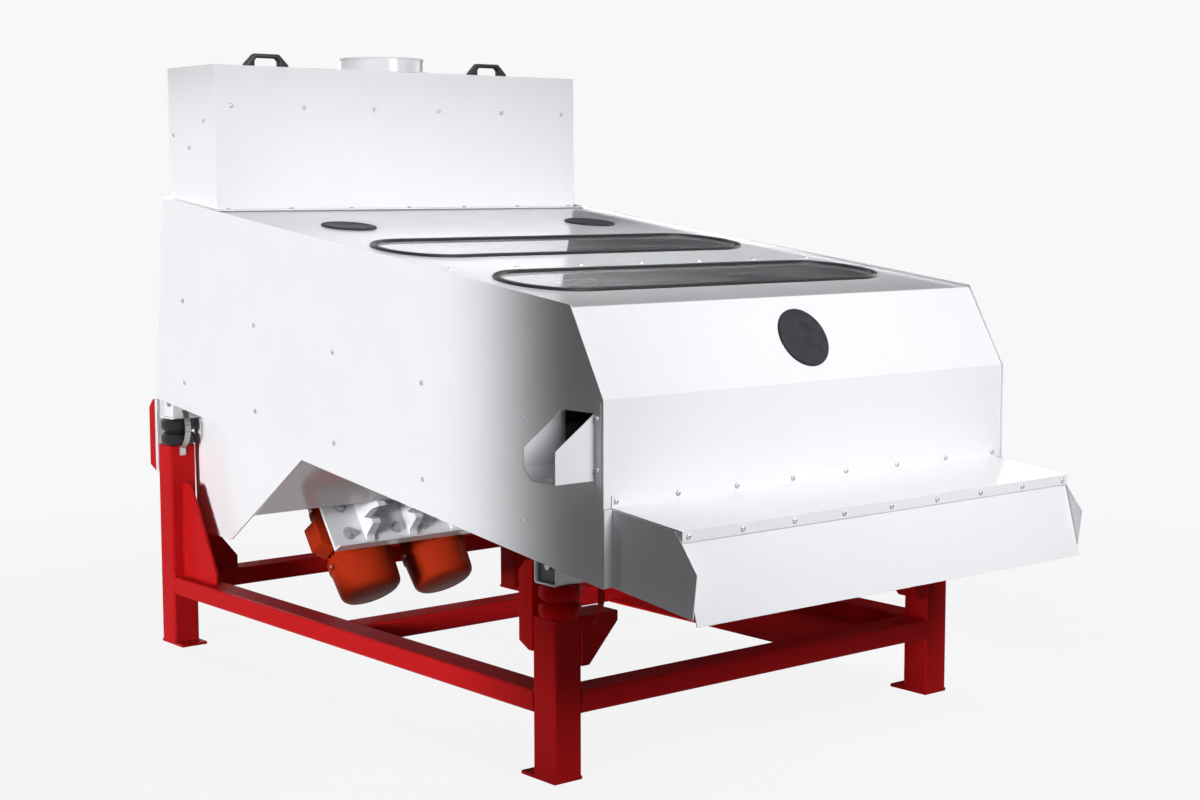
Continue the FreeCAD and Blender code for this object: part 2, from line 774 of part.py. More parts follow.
FRONT_FOLD_Y = "(panel_front_top_y - front_recess)"
COVER_SPANS = {
    "rear": ("-cover_joint", "-cover_rear_gap - cover_thickness"),
    "front": (f"-(panel_rear_top_y + {FRONT_FOLD_Y} - cover_thickness - 1) / cos(deck_slope)",
              "-cover_joint"),
}
WINDOW_AT = {"rear": "-rear_window_at", "front": "-front_window_at"}
CUTOUT = ("window_half_length - window_rubber_overlap", "window_radius - window_rubber_overlap")
for end, (y_low, y_high) in COVER_SPANS.items():
    cover = new_body(f"top_cover_{end}")
    cover_frame(cover)
    sheet_plan = new_sketch(cover, "XY", "-cover_thickness")
    rectangle(sheet_plan, f"-{BODY_INNER}", y_low, BODY_INNER, y_high)
    pad(cover, sheet_plan, "cover_thickness")
    holes = new_sketch(cover, "XY", "-cover_thickness")
    slot(holes, CUTOUT[0], WINDOW_AT[end], CUTOUT[1])
    if end == "rear":
        for sign in SIDES.values():
            circle(holes, f"{sign} * top_port_x", "-top_port_at",
                   "2 * (plug_spigot_radius + port_clearance)")
        rectangle(holes, "-inlet_mouth_half_width", "-inlet_mouth_near",
                  "inlet_mouth_half_width", "-inlet_mouth_far")
    pocket(cover, holes, "cover_thickness")
    nodes[cover.Label] = cover

# Window panes and the rubber frames that hold their edges

panes, rubbers = [], []
for end in ENDS:
    pane = new_body(f"window_pane_{end}")
    cover_frame(pane)
    plan = new_sketch(pane, "XY", "-cover_thickness")
    slot(plan, f"{CUTOUT[0]} - pane_gap", WINDOW_AT[end], f"{CUTOUT[1]} - pane_gap")
    pad(pane, plan, "cover_thickness")
    panes.append(pane)
    rubber = new_body(f"window_rubber_{end}")
    cover_frame(rubber)
    ring = new_sketch(rubber, "XY")
    slot(ring, "window_half_length", WINDOW_AT[end], "window_radius")
    slot(ring, "window_half_length - window_rubber_width", WINDOW_AT[end],
         "window_radius - window_rubber_width")
    pad(rubber, ring, "window_rubber_height")
    rubbers.append(rubber)
nodes["window_panes"] = group("window_panes", panes)
nodes["window_seals"] = group("window_seals", rubbers)

# Front cover: a sloping face over an upright one, with a flange under the top cover

NOSE_Y = "(panel_nose_y - front_recess)"
fold = f"-{FRONT_FOLD_Y}"
flange_end = f"{fold} + cover_thickness + front_flange"
under = f"cover_drop + {COVER_FALL}"
under_again = f"{under} + cover_thickness"
front_cover = bent_sheet("front_cover_sheet", [
    (fold, top_line(fold, "cover_drop")),
    (f"-{NOSE_Y}", "panel_nose_z"),
    (f"-{NOSE_Y}", "front_cover_low_z"),
    (f"-{NOSE_Y} + cover_thickness", "front_cover_low_z"),
    (f"-{NOSE_Y} + cover_thickness", "panel_nose_z"),
    (f"{fold} + cover_thickness", top_line(fold, under_again)),
    (flange_end, top_line(flange_end, under_again)),
    (flange_end, top_line(flange_end, under)),
    (f"{fold} + cover_thickness", top_line(f"{fold} + cover_thickness", under)),
    (f"{fold} + cover_thickness", top_line(f"{fold} + cover_thickness", "cover_drop")),
], BODY_INNER)

# The sloping face's angle, and the middle of its port measured down the face from the fold
FACE_RISE = f"({top_line(fold, 'cover_drop')} - panel_nose_z)"
FACE_RUN = f"({NOSE_Y} - {FRONT_FOLD_Y})"
FACE_ANGLE = f"atan({FACE_RISE} / {FACE_RUN})"
PORT_Y = f"({fold} - front_port_at * cos({FACE_ANGLE}))"
PORT_Z = f"({top_line(fold, 'cover_drop')} - front_port_at * sin({FACE_ANGLE}))"


def face_frame(item):
    """Stands a piece on the sloping front face at its port, with z square to the face."""
    tilt(item, FACE_ANGLE, PORT_Y, PORT_Z)


port = doc.addObject("Part::Cylinder", "front_port")
port.setExpression("Radius", bound("plug_spigot_radius + port_clearance"))
port.setExpression("Height", bound("2 * plug_spigot"))
port.Placement = Placement(Vector(0, 0, 0), Rotation(Vector(1, 0, 0), 10))
port.setExpression("Placement.Rotation.Angle", bound(FACE_ANGLE))
port.setExpression("Placement.Base.y", bound(f"{PORT_Y} + plug_spigot * sin({FACE_ANGLE})"))
port.setExpression("Placement.Base.z", bound(f"{PORT_Z} - plug_spigot * cos({FACE_ANGLE})"))
front_cover_cut = doc.addObject("Part::Cut", "front_cover")
front_cover_cut.Base = front_cover
front_cover_cut.Tool = port
nodes["front_cover"] = front_cover_cut

# Rubber plugs of the inspection ports: a lid on the cover and a spigot in the hole


def plug(label, place, x="0", y="0"):
    body = new_body(label)
    place(body)
    lid = new_sketch(body, "XY")
    circle(lid, x, y, "2 * plug_radius")
    pad(body, lid, "plug_lid")
    spigot = new_sketch(body, "XY", "-plug_spigot")
    circle(spigot, x, y, "2 * plug_spigot_radius")
    pad(body, spigot, "plug_spigot")
    nodes[label] = body


for side, sign in SIDES.items():
    plug(f"top_plug_{side}", cover_frame, f"{sign} * top_port_x", "-top_port_at")
plug("front_plug", face_frame)

# Rear wall, square to the top

rear_wall = new_body("rear_wall")
cover_frame(rear_wall)
wall_side = new_sketch(rear_wall, "YZ")
rectangle(wall_side, "-cover_rear_gap - cover_thickness", "-rear_wall_depth", "-cover_rear_gap", "0")
pad(rear_wall, wall_side, f"2 * {BODY_INNER}", symmetric=True)
nodes["rear_wall"] = rear_wall

# Discharge chute: bolted top sheet with a lip, hanging flap and two cheeks

CHUTE_INNER = "(chute_half_width - chute_sheet)"
nodes["chute_top"] = bent_sheet("chute_top", [
    (f"-{NOSE_Y}", "chute_rear_z + chute_upstand"),
    (f"-{NOSE_Y} - chute_sheet", "chute_rear_z + chute_upstand"),
    (f"-{NOSE_Y} - chute_sheet", "chute_rear_z"),
    ("-chute_front_y", "chute_front_z"),
    ("-chute_front_y", "chute_front_z - chute_lip"),
    ("-chute_front_y + chute_sheet", "chute_front_z - chute_lip"),
    ("-chute_front_y + chute_sheet", "chute_front_z - chute_sheet"),
    (f"-{NOSE_Y}", "chute_rear_z - chute_sheet"),
], CHUTE_INNER)
nodes["chute_flap"] = bent_sheet("chute_flap", [
    ("-chute_front_y + chute_sheet", "chute_front_z - 2 * chute_sheet"),
    ("-chute_front_y + 2 * chute_sheet", "chute_front_z - 2 * chute_sheet"),
    ("-chute_front_y + 2 * chute_sheet", "chute_front_z - chute_lip"),
    ("-flap_low_y + chute_sheet", "flap_low_z"),
    ("-flap_low_y", "flap_low_z"),
    ("-chute_front_y + chute_sheet", "chute_front_z - chute_lip"),
], "flap_half_width")

cheeks = []
for side, sign in SIDES.items():
    cheek = plate_yz(f"chute_cheek_{side}", [
        ("-panel_nose_y", "chute_rear_z - chute_sheet"),
        ("-cheek_shoulder_y", "cheek_shoulder_z"),
        ("-chute_front_y", "chute_front_z - chute_lip"),
        ("-cheek_apex_y", "cheek_apex_z"),
        ("-cheek_low_y", "cheek_low_z"),
        ("-panel_nose_y", "cheek_rear_low_z"),
    ], low_side(sign, "chute_half_width", "chute_sheet"), "chute_sheet")
    tab = new_sketch(cheek, "YZ", low_side(sign, "body_half_width", "body_half_width - chute_half_width"))
    rectangle(tab, "-panel_nose_y - chute_sheet", "cheek_rear_low_z",
              "-panel_nose_y", "chute_rear_z - chute_sheet")
    pad(cheek, tab, "body_half_width - chute_half_width")
    cheeks.append(cheek)
nodes["chute_cheeks"] = group("chute_cheeks", cheeks)

# Side spout: a folded trough bolted over the mouth in the left panel

spout = new_body("side_spout")
near, far = "-spout_front_y", "-spout_front_y + spout_width"
low, high = "spout_floor_z", "spout_floor_z + spout_height"
flange = new_sketch(spout, "YZ", "-(body_half_width + spout_sheet)")
rectangle(flange, f"{near} - spout_flange", f"{low} - spout_flange + spout_sheet",
          f"{far} + spout_flange", f"{high} + spout_flange + spout_sheet")
rectangle(flange, near, low, far, high)
pad(spout, flange, "spout_sheet")
trough = new_sketch(spout, "YZ", "-(body_half_width + spout_sheet + spout_reach)")
outline(trough, [
    (f"{near} - spout_sheet", high),
    (f"{near} - spout_sheet", f"{low} - spout_sheet"),
    (f"{far} - spout_chamfer", f"{low} - spout_sheet"),
    (f"{far} + spout_sheet", f"{low} + spout_chamfer"),
    (f"{far} + spout_sheet", high),
    (far, high),
    (far, f"{low} + spout_chamfer + spout_sheet / 2"),
    (f"{far} - spout_chamfer - spout_sheet / 2", low),
    (near, low),
    (near, high),
])
pad(spout, trough, "spout_reach")
slope = new_sketch(spout, "XZ", "spout_front_y - 2 * spout_width")
inner_x = "-(body_half_width + spout_sheet)"
outer_x = "-(body_half_width + 2 * spout_sheet + spout_reach)"
outline(slope, [(inner_x, high), (inner_x, f"{high} + spout_flange"),
                (outer_x, f"{high} + spout_flange"), (outer_x, f"{low} + spout_mouth_height")])
pocket(spout, slope, "3 * spout_width")
nodes["side_spout"] = spout

# Trough across the machine at the end of the upper deck, with a floor that falls to the spout

trough = new_body("overs_trough")
near, far = "-spout_front_y", "-spout_front_y + spout_width"
floor = new_sketch(trough, "XZ", "spout_front_y - spout_width - spout_sheet")
outline(floor, [
    (f"-{BODY_INNER}", "spout_floor_z - spout_sheet"),
    (BODY_INNER, "spout_floor_z - spout_sheet + trough_fall"),
    (BODY_INNER, "spout_floor_z + trough_fall"),
    (f"-{BODY_INNER}", "spout_floor_z"),
])
pad(trough, floor, "spout_width + 2 * spout_sheet")
back = new_sketch(trough, "XZ", "spout_front_y - spout_width - spout_sheet")
rectangle(back, f"-{BODY_INNER}", "spout_floor_z - spout_sheet",
          BODY_INNER, "spout_floor_z + trough_rear_height")
pad(trough, back, "spout_sheet")
front = new_sketch(trough, "XZ", "spout_front_y")
rectangle(front, f"-{BODY_INNER}", "spout_floor_z - spout_sheet",
          BODY_INNER, "spout_floor_z + spout_height")
pad(trough, front, "spout_sheet")
nodes["overs_trough"] = trough

# Decks: a frame with cross bars, and the screen sheet on it

DECKS = {
    "upper": ("upper_deck_depth", "upper_deck_length"),
    "lower": ("lower_deck_depth", "lower_deck_length"),
}
for deck, (depth, length) in DECKS.items():
    frame = new_body(f"{deck}_deck_frame")
    cover_frame(frame)
    plan = new_sketch(frame, "XY", f"-{depth} - screen_thickness - deck_frame_height")
    rectangle(plan, f"-{BODY_INNER}", f"-deck_rear_gap - {length}", BODY_INNER, "-deck_rear_gap")
    pad(frame, plan, "deck_frame_height")
    cell = f"(({length} - deck_bar) / deck_bays)"
    bays = new_sketch(frame, "XY", f"-{depth} - screen_thickness - deck_frame_height")
    for sign in SIDES.values():
        inner, outer = f"{sign} * deck_bar / 2", f"{sign} * ({BODY_INNER} - deck_bar)"
        rectangle(bays, inner, f"-deck_rear_gap - {cell}", outer, "-deck_rear_gap - deck_bar")
    cut = pocket(frame, bays, "deck_frame_height")
    rows = pattern(frame, cut, "LinearPattern", "Y_Axis", "deck_bays",
                   Length=f"{cell} * (deck_bays - 1)")
    rows.Reversed = True
    nodes[frame.Label] = frame
    screen = new_body(f"{deck}_screen")
    cover_frame(screen)
    mesh = new_sketch(screen, "XY", f"-{depth} - screen_thickness")
    rectangle(mesh, f"-{BODY_INNER} + screen_edge", f"-deck_rear_gap - {length} + screen_edge",
              f"{BODY_INNER} - screen_edge", "-deck_rear_gap - screen_edge")
    pad(screen, mesh, "screen_thickness")
    nodes[screen.Label] = screen

# Pan under the decks, with an upstand at its rear and a slot for the fines at its front

pan = new_body("bottom_pan")
cover_frame(pan)
pan_plan = new_sketch(pan, "XY", "-pan_depth - pan_thickness")
rectangle(pan_plan, f"-{BODY_INNER}", "-deck_rear_gap - pan_length", BODY_INNER, "-deck_rear_gap")
pad(pan, pan_plan, "pan_thickness")
upstand = new_sketch(pan, "XY", "-pan_depth - pan_thickness")
rectangle(upstand, f"-{BODY_INNER}", "-deck_rear_gap - pan_thickness", BODY_INNER, "-deck_rear_gap")
pad(pan, upstand, "pan_thickness + pan_upstand")
fines = new_sketch(pan, "XY", "-pan_depth - pan_thickness")
slot_far = "-deck_rear_gap - pan_length + fines_slot_edge"
rectangle(fines, "-fines_slot_half_width", slot_far,
          "fines_slot_half_width", f"{slot_far} + fines_slot_length")
pocket(pan, fines, "pan_thickness")
nodes["bottom_pan"] = pan

# Motor carrier: two side plates under the body, up against the pan and the rear cross tube


def pan_under(y):
    """Height of the pan's underside at y."""
    return (f"({top_line(y, 'cover_drop')} - (pan_depth + pan_thickness) / cos(deck_slope))")


TUBE_FACE = f"({TUBE_MIDDLE['rear']} - cross_tube_size / 2)"
plates = []
for side, sign in SIDES.items():
    plates.append(plate_yz(f"carrier_plate_{side}", [
        (TUBE_FACE, TUBE_LOW["rear"]),
        (TUBE_FACE, pan_under(TUBE_FACE)),
        ("carrier_front_y", pan_under("carrier_front_y")),
        ("carrier_front_y", "carrier_front_z"),
        ("carrier_toe_y", "carrier_low_z"),
        ("carrier_heel_y", "carrier_low_z"),
        ("carrier_rear_y", "carrier_rear_z"),
        ("carrier_top_y", TUBE_LOW["rear"]),
    ], low_side(sign, "carrier_half_width", "carrier_plate"), "carrier_plate"))
nodes["carrier_plates"] = group("carrier_plates", plates)

# Sloping wall between the carrier plates, along the line of throw, with its lower edge turned up

CARRIER_INNER = "(carrier_half_width - carrier_plate)"
wall = new_body("carrier_wall")
carrier_frame(wall)
wall_section = new_sketch(wall, "YZ")
outline(wall_section, [
    ("-carrier_wall_upper", "carrier_wall_level"),
    ("carrier_wall_lower + carrier_wall_sheet", "carrier_wall_level"),
    ("carrier_wall_lower + carrier_wall_sheet", "carrier_wall_level + carrier_wall_return"),
    ("carrier_wall_lower", "carrier_wall_level + carrier_wall_return"),
    ("carrier_wall_lower", "carrier_wall_level + carrier_wall_sheet"),
    ("-carrier_wall_upper", "carrier_wall_level + carrier_wall_sheet"),
])
pad(wall, wall_section, f"2 * {CARRIER_INNER}", symmetric=True)
nodes["carrier_wall"] = wall

# Motor bracket: a plate square to the throw, a lip at its foot and notched ribs up to the wall

bracket = new_body("motor_bracket")
carrier_frame(bracket)
plate = new_sketch(bracket, "YZ")
rectangle(plate, "bracket_face", "bracket_low", "bracket_face + bracket_plate",
          "bracket_low + bracket_height")
pad(bracket, plate, "2 * bracket_half_width", symmetric=True)
lip = new_sketch(bracket, "YZ")
rectangle(lip, "bracket_face - bracket_lip", "bracket_low - bracket_lip_thickness",
          "bracket_face + bracket_plate", "bracket_low")
pad(bracket, lip, "2 * bracket_half_width", symmetric=True)
WALL_EDGE = "(carrier_wall_lower + carrier_wall_sheet)"
# Corners of a rib as shares of its reach from the plate to the wall's edge, and of its height
RIB_SHARES = [(0, 0), (0.12, 0.16), (0.64, 0.24), (0.66, 0.335), (0.31, 0.485), (0.82, 0.49),
              (1.26, 0.41), (1.23, 0.52), (1, 0.58), (1, 1), (0, 1)]
for step in (-1, 0, 1):
    rib = new_sketch(bracket, "YZ", f"{step} * rib_spacing - rib_thickness / 2")
    outline(rib, [(f"bracket_face - (bracket_face - {WALL_EDGE}) * {out}",
                   f"bracket_low + rib_height * {up}") for out, up in RIB_SHARES])
    pad(bracket, rib, "rib_thickness")
nodes["motor_bracket"] = bracket

# Unbalance motors, side by side under the bracket, with their shafts across the throw

CAP_SEAT = {"low": "(motor_low_end + motor_cap_length)",
            "high": "(motor_low_end + motor_cap_length + motor_body_length)"}
MOTOR_X = {"left": "(-motor_spacing / 2)", "right": "(motor_spacing / 2)"}


def shaft_frame(body, side):
    """Puts a body's z axis on a motor's shaft, with z = 0 at the lower end of the motor."""
    tilt(body, "-throw_angle",
         "carrier_origin_y + motor_axis * cos(throw_angle) + motor_low_end * sin(throw_angle)",
         "carrier_origin_z + motor_low_end * cos(throw_angle) - motor_axis * sin(throw_angle)")
    body.setExpression("Placement.Base.x", bound(MOTOR_X[side]))


BODY_LOW = "motor_cap_length"
BODY_HIGH = "(motor_cap_length + motor_body_length)"
MOTOR_LENGTH = "(2 * motor_cap_length + motor_body_length)"
caps, boxes = [], []
for side, sign in SIDES.items():
    housing = new_body(f"motor_{side}_housing")
    shaft_frame(housing, side)
    half = new_sketch(housing, "XZ")
    bore = "shaft_radius + shaft_clearance"
    outline(half, [
        (bore, BODY_LOW),
        ("motor_cap_radius", BODY_LOW),
        ("motor_cap_radius", f"{BODY_LOW} + motor_flange"),
        ("motor_body_radius", f"{BODY_LOW} + motor_flange"),
        ("motor_body_radius", f"{BODY_HIGH} - motor_flange"),
        ("motor_cap_radius", f"{BODY_HIGH} - motor_flange"),
        ("motor_cap_radius", BODY_HIGH),
        (bore, BODY_HIGH),
    ])
    revolve(housing, half)
    fin = new_sketch(housing, "XY", f"{BODY_LOW} + motor_flange / 2")
    rectangle(fin, "motor_body_radius - 2 * motor_fin_thickness", "-motor_fin_thickness / 2",
              "motor_body_radius + motor_fin_height", "motor_fin_thickness / 2")
    fin_pad = pad(housing, fin, "motor_body_length - motor_flange")
    pattern(housing, fin_pad, "PolarPattern", "Z_Axis", "motor_fin_count")
    middle = f"{BODY_LOW} + motor_body_length / 2"
    foot = new_sketch(housing, "XY", f"{middle} - motor_foot_length / 2")
    face = "-(motor_axis - bracket_face - bracket_plate)"
    rectangle(foot, "-motor_foot_half_width", face, "motor_foot_half_width",
              f"{face} + motor_foot_height")
    pad(housing, foot, "motor_foot_length")
    seat = new_sketch(housing, "XY", f"{BODY_LOW} + terminal_low + terminal_seat_depth / 2")
    rectangle(seat, f"{sign} * motor_body_radius / 2", "-terminal_width * 0.43",
              f"{sign} * (terminal_seat + terminal_seat_depth)", "terminal_width * 0.43")
    pad(housing, seat, "terminal_length - terminal_seat_depth")
    nodes[housing.Label] = housing

    for place in ("low", "high"):
        cap = new_body(f"motor_{side}_cap_{place}")
        shaft_frame(cap, side)
        profile = new_sketch(cap, "XZ")
        closed, open_end = ("0", BODY_LOW) if place == "low" else (MOTOR_LENGTH, BODY_HIGH)
        way = 1 if place == "low" else -1
        outline(profile, [
            ("0", closed),
            (f"motor_cap_top_radius - motor_cap_round", closed),
            ("motor_cap_top_radius - motor_cap_round * 0.3", f"{closed} + {way} * motor_cap_round * 0.3"),
            ("motor_cap_top_radius", f"{closed} + {way} * motor_cap_round"),
            ("motor_cap_radius", open_end),
            ("motor_cap_radius - motor_cap_wall", open_end),
            ("motor_cap_top_radius - motor_cap_wall", f"{closed} + {way} * motor_cap_round"),
            ("motor_cap_top_radius - motor_cap_round * 0.3 - motor_cap_wall * 0.7",
             f"{closed} + {way} * (motor_cap_round * 0.3 + motor_cap_wall * 0.7)"),
            ("motor_cap_top_radius - motor_cap_round", f"{closed} + {way} * motor_cap_wall"),
            ("0", f"{closed} + {way} * motor_cap_wall"),
        ])
        revolve(cap, profile)
        caps.append(cap)

    box = new_body(f"terminal_box_{side}")
    shaft_frame(box, side)
    cover = new_sketch(box, "XZ", "-terminal_width / 2")
    near = f"{sign} * (terminal_seat + terminal_seat_depth)"
    far = f"{sign} * (terminal_seat + terminal_out)"
    low, high = f"{BODY_LOW} + terminal_low", f"{BODY_LOW} + terminal_low + terminal_length"
    outline(cover, [
        (near, low), (near, high), (far, f"{high} - terminal_length / 7"),
        (far, f"{low} + terminal_length / 4"),
    ])
    pad(box, cover, "terminal_width")
    boxes.append(box)

    rotor = new_body(f"rotor_{side}")
    shaft_frame(rotor, side)
    shaft = new_sketch(rotor, "XY", "shaft_end_gap")
    circle(shaft, "0", "0", "2 * shaft_radius")
    pad(rotor, shaft, f"{MOTOR_LENGTH} - 2 * shaft_end_gap")
    for start in (f"{BODY_LOW} - weight_gap - weight_thickness", f"{BODY_HIGH} + weight_gap"):
        weight = new_sketch(rotor, "XY", start)
        ring = Part.Circle(Vector(0, 0, 0), Vector(0, 0, 1), 60)
        arc = weight.addGeometry(Part.ArcOfCircle(ring, 0, math.pi), False)
        line = weight.addGeometry(Part.LineSegment(Vector(-60, 0, 0), Vector(60, 0, 0)), False)
        weight.addConstraint(Sketcher.Constraint("Coincident", arc, 2, line, 1))
        weight.addConstraint(Sketcher.Constraint("Coincident", line, 2, arc, 1))
        weight.addConstraint(Sketcher.Constraint("Horizontal", line))
        pin_point(weight, arc, 3, "0", "0")
        number = weight.addConstraint(Sketcher.Constraint("Radius", arc, 60.0))
        weight.setExpression(f"Constraints[{number}]", bound("weight_radius"))
        pad(rotor, weight, "weight_thickness")
    nodes[rotor.Label] = rotor
nodes["motor_caps"] = group("motor_caps", caps)
nodes["terminal_boxes"] = group("terminal_boxes", boxes)

# Inlet box: a folded shell over the inlet mouth, on a flange that follows the slope

box = new_body("inlet_box")
under = "cover_drop - gasket_thickness"
over = f"{under} - inlet_sheet"
rim = new_sketch(box, "YZ")
front_y, rear_y = "inlet_front_y - inlet_flange", "inlet_rear_y"
outline(rim, [(front_y, top_line(front_y, under)), (rear_y, top_line(rear_y, under)),
              (rear_y, top_line(rear_y, over)), (front_y, top_line(front_y, over))])
pad(box, rim, "2 * (inlet_half_width + inlet_flange)", symmetric=True)
shell = new_sketch(box, "YZ")
outline(shell, [("inlet_front_y", top_line("inlet_front_y", under)),
                ("inlet_rear_y", top_line("inlet_rear_y", under)),
                ("inlet_rear_y", "inlet_top_z"), ("inlet_front_y", "inlet_top_z")])
pad(box, shell, "2 * inlet_half_width", symmetric=True)
room = new_sketch(box, "YZ")
inside_front, inside_rear = "inlet_front_y + inlet_sheet", "inlet_rear_y - inlet_sheet"
outline(room, [(inside_front, top_line(inside_front, "cover_drop")),
               (inside_rear, top_line(inside_rear, "cover_drop")),
               (inside_rear, "inlet_top_z - inlet_sheet"),
               (inside_front, "inlet_top_z - inlet_sheet")])
pocket(box, room, "2 * (inlet_half_width - inlet_sheet)", symmetric=True)
mouths = new_sketch(box, "XY", "inlet_top_z - inlet_sheet")
circle(mouths, "0", "collar_y", "2 * (collar_radius - collar_wall)")
for sign in SIDES.values():
    rectangle(mouths,
              f"{sign} * hatch_x - hatch_half_length + hatch_rim", "collar_y - hatch_half_width + hatch_rim",
              f"{sign} * hatch_x + hatch_half_length - hatch_rim", "collar_y + hatch_half_width - hatch_rim")
pocket(box, mouths, "inlet_sheet")
nodes["inlet_box"] = box

# Gasket between the inlet box and the cover

gasket = new_body("inlet_gasket")
cover_frame(gasket)
strip = new_sketch(gasket, "XY")
gasket_front = "-(panel_rear_top_y - inlet_front_y + inlet_flange) / cos(deck_slope) + 1"
rectangle(strip, "-inlet_half_width - inlet_flange", gasket_front,
          "inlet_half_width + inlet_flange", "-cover_rear_gap - cover_thickness")
rectangle(strip, "-inlet_mouth_half_width", "-inlet_mouth_near",
          "inlet_mouth_half_width", "-inlet_mouth_far")
pad(gasket, strip, "gasket_thickness * cos(deck_slope)")
nodes["inlet_gasket"] = gasket

# Inlet collar: a short round duct with a base flange and a rolled rim

collar = new_body("inlet_collar")
tilt(collar, "0", "collar_y", "inlet_top_z")
wall_half = new_sketch(collar, "XZ")
outline(wall_half, [
    ("collar_radius - collar_wall", "0"),
    ("collar_radius + collar_flange", "0"),
    ("collar_radius + collar_flange", "collar_wall"),
    ("collar_radius", "collar_wall"),
    ("collar_radius", "collar_height - 2 * collar_bead"),
    ("collar_radius + collar_bead", "collar_height - 1.5 * collar_bead"),
    ("collar_radius + collar_bead", "collar_height - 0.5 * collar_bead"),
    ("collar_radius", "collar_height"),
    ("collar_radius - collar_wall", "collar_height"),
])
revolve(collar, wall_half)
nodes["inlet_collar"] = collar

# Inspection hatches on the inlet box, each with a bridge handle

for side, sign in SIDES.items():
    hatch = new_body(f"hatch_{side}")
    tilt(hatch, "0", "collar_y", "inlet_top_z")
    hatch.setExpression("Placement.Base.x", bound(f"{sign} * hatch_x"))
    lid = new_sketch(hatch, "XY")
    rectangle(lid, "-hatch_half_length", "-hatch_half_width", "hatch_half_length", "hatch_half_width")
    pad(hatch, lid, "hatch_sheet")
    skirt = new_sketch(hatch, "XY", "-hatch_rim_depth")
    x_out, y_out = (f"hatch_half_{way} - hatch_rim - hatch_clearance" for way in ("length", "width"))
    rectangle(skirt, f"-({x_out})", f"-({y_out})", x_out, y_out)
    rectangle(skirt, f"-({x_out} - hatch_sheet)", f"-({y_out} - hatch_sheet)",
              f"{x_out} - hatch_sheet", f"{y_out} - hatch_sheet")
    pad(hatch, skirt, "hatch_rim_depth")
    nodes[hatch.Label] = hatch
    handle = new_body(f"handle_{side}")
    tilt(handle, "0", "collar_y", "inlet_top_z + hatch_sheet")
    handle.setExpression("Placement.Base.x", bound(f"{sign} * hatch_x"))
    bridge = new_sketch(handle, "XZ", "-handle_depth / 2")
    half, inner = "handle_length / 2", "(handle_length / 2 - handle_foot)"
    outline(bridge, [
        (f"-{half}", "0"), (f"-{inner}", "0"),
        (f"-{inner}", "handle_height - handle_grip - handle_corner"),
        (f"-{inner} + handle_corner", "handle_height - handle_grip"),
        (f"{inner} - handle_corner", "handle_height - handle_grip"),
        (inner, "handle_height - handle_grip - handle_corner"), (inner, "0"), (half, "0"),
        (half, "handle_height - handle_shoulder"), (f"{half} - handle_shoulder", "handle_height"),
        (f"-{half} + handle_shoulder", "handle_height"), (f"-{half}", "handle_height - handle_shoulder"),
    ])
    pad(handle, bridge, "handle_depth")
    nodes[handle.Label] = handle

# Earthing straps: a braided strip hangs in a bow from each cross tube down to the leg


def strap_shape(x, top, low, bulge, tab, width, thickness):
    """A bowed strip with flat ends, bolted at two points in Y and Z, each given as (y, z)."""
    middle = ((top[0] + low[0]) / 2 - bulge, (top[1] + low[1]) / 2)
    stations = ((top[0], top[1] + tab), (top[0], top[1] - tab), middle,
                (low[0], low[1] + tab), (low[0], low[1] - tab))
    edge = [Vector(x, y, z) for y, z in stations]
    inner = [point + Vector(0, -thickness, 0) for point in edge]
    face = Part.Face(Part.Wire([
        Part.LineSegment(edge[0], edge[1]).toShape(),
        Part.Arc(edge[1], edge[2], edge[3]).toShape(),
        Part.LineSegment(edge[3], edge[4]).toShape(),
        Part.LineSegment(edge[4], inner[4]).toShape(),
        Part.LineSegment(inner[4], inner[3]).toShape(),
        Part.Arc(inner[3], inner[2], inner[1]).toShape(),
        Part.LineSegment(inner[1], inner[0]).toShape(),
        Part.LineSegment(inner[0], edge[0]).toShape(),
    ]))
    return face.extrude(Vector(width, 0, 0))


def hex_head(place, axis, flats, height):
    """A six-sided bolt head that stands on a surface at place, along axis."""
    axis = Vector(axis).normalize()
    turn = Rotation(Vector(0, 0, 1), axis)
    radius = flats / math.sqrt(3)
    corners = [place + turn.multVec(Vector(radius * math.cos(math.radians(60 * k)),
                                           radius * math.sin(math.radians(60 * k)), 0))
               for k in range(7)]
    return Part.Face(Part.makePolygon(corners)).extrude(axis * height)


def feature_of(label, shapes):
    item = doc.addObject("Part::Feature", label)
    item.Shape = Part.makeCompound(shapes)
    nodes[label] = item


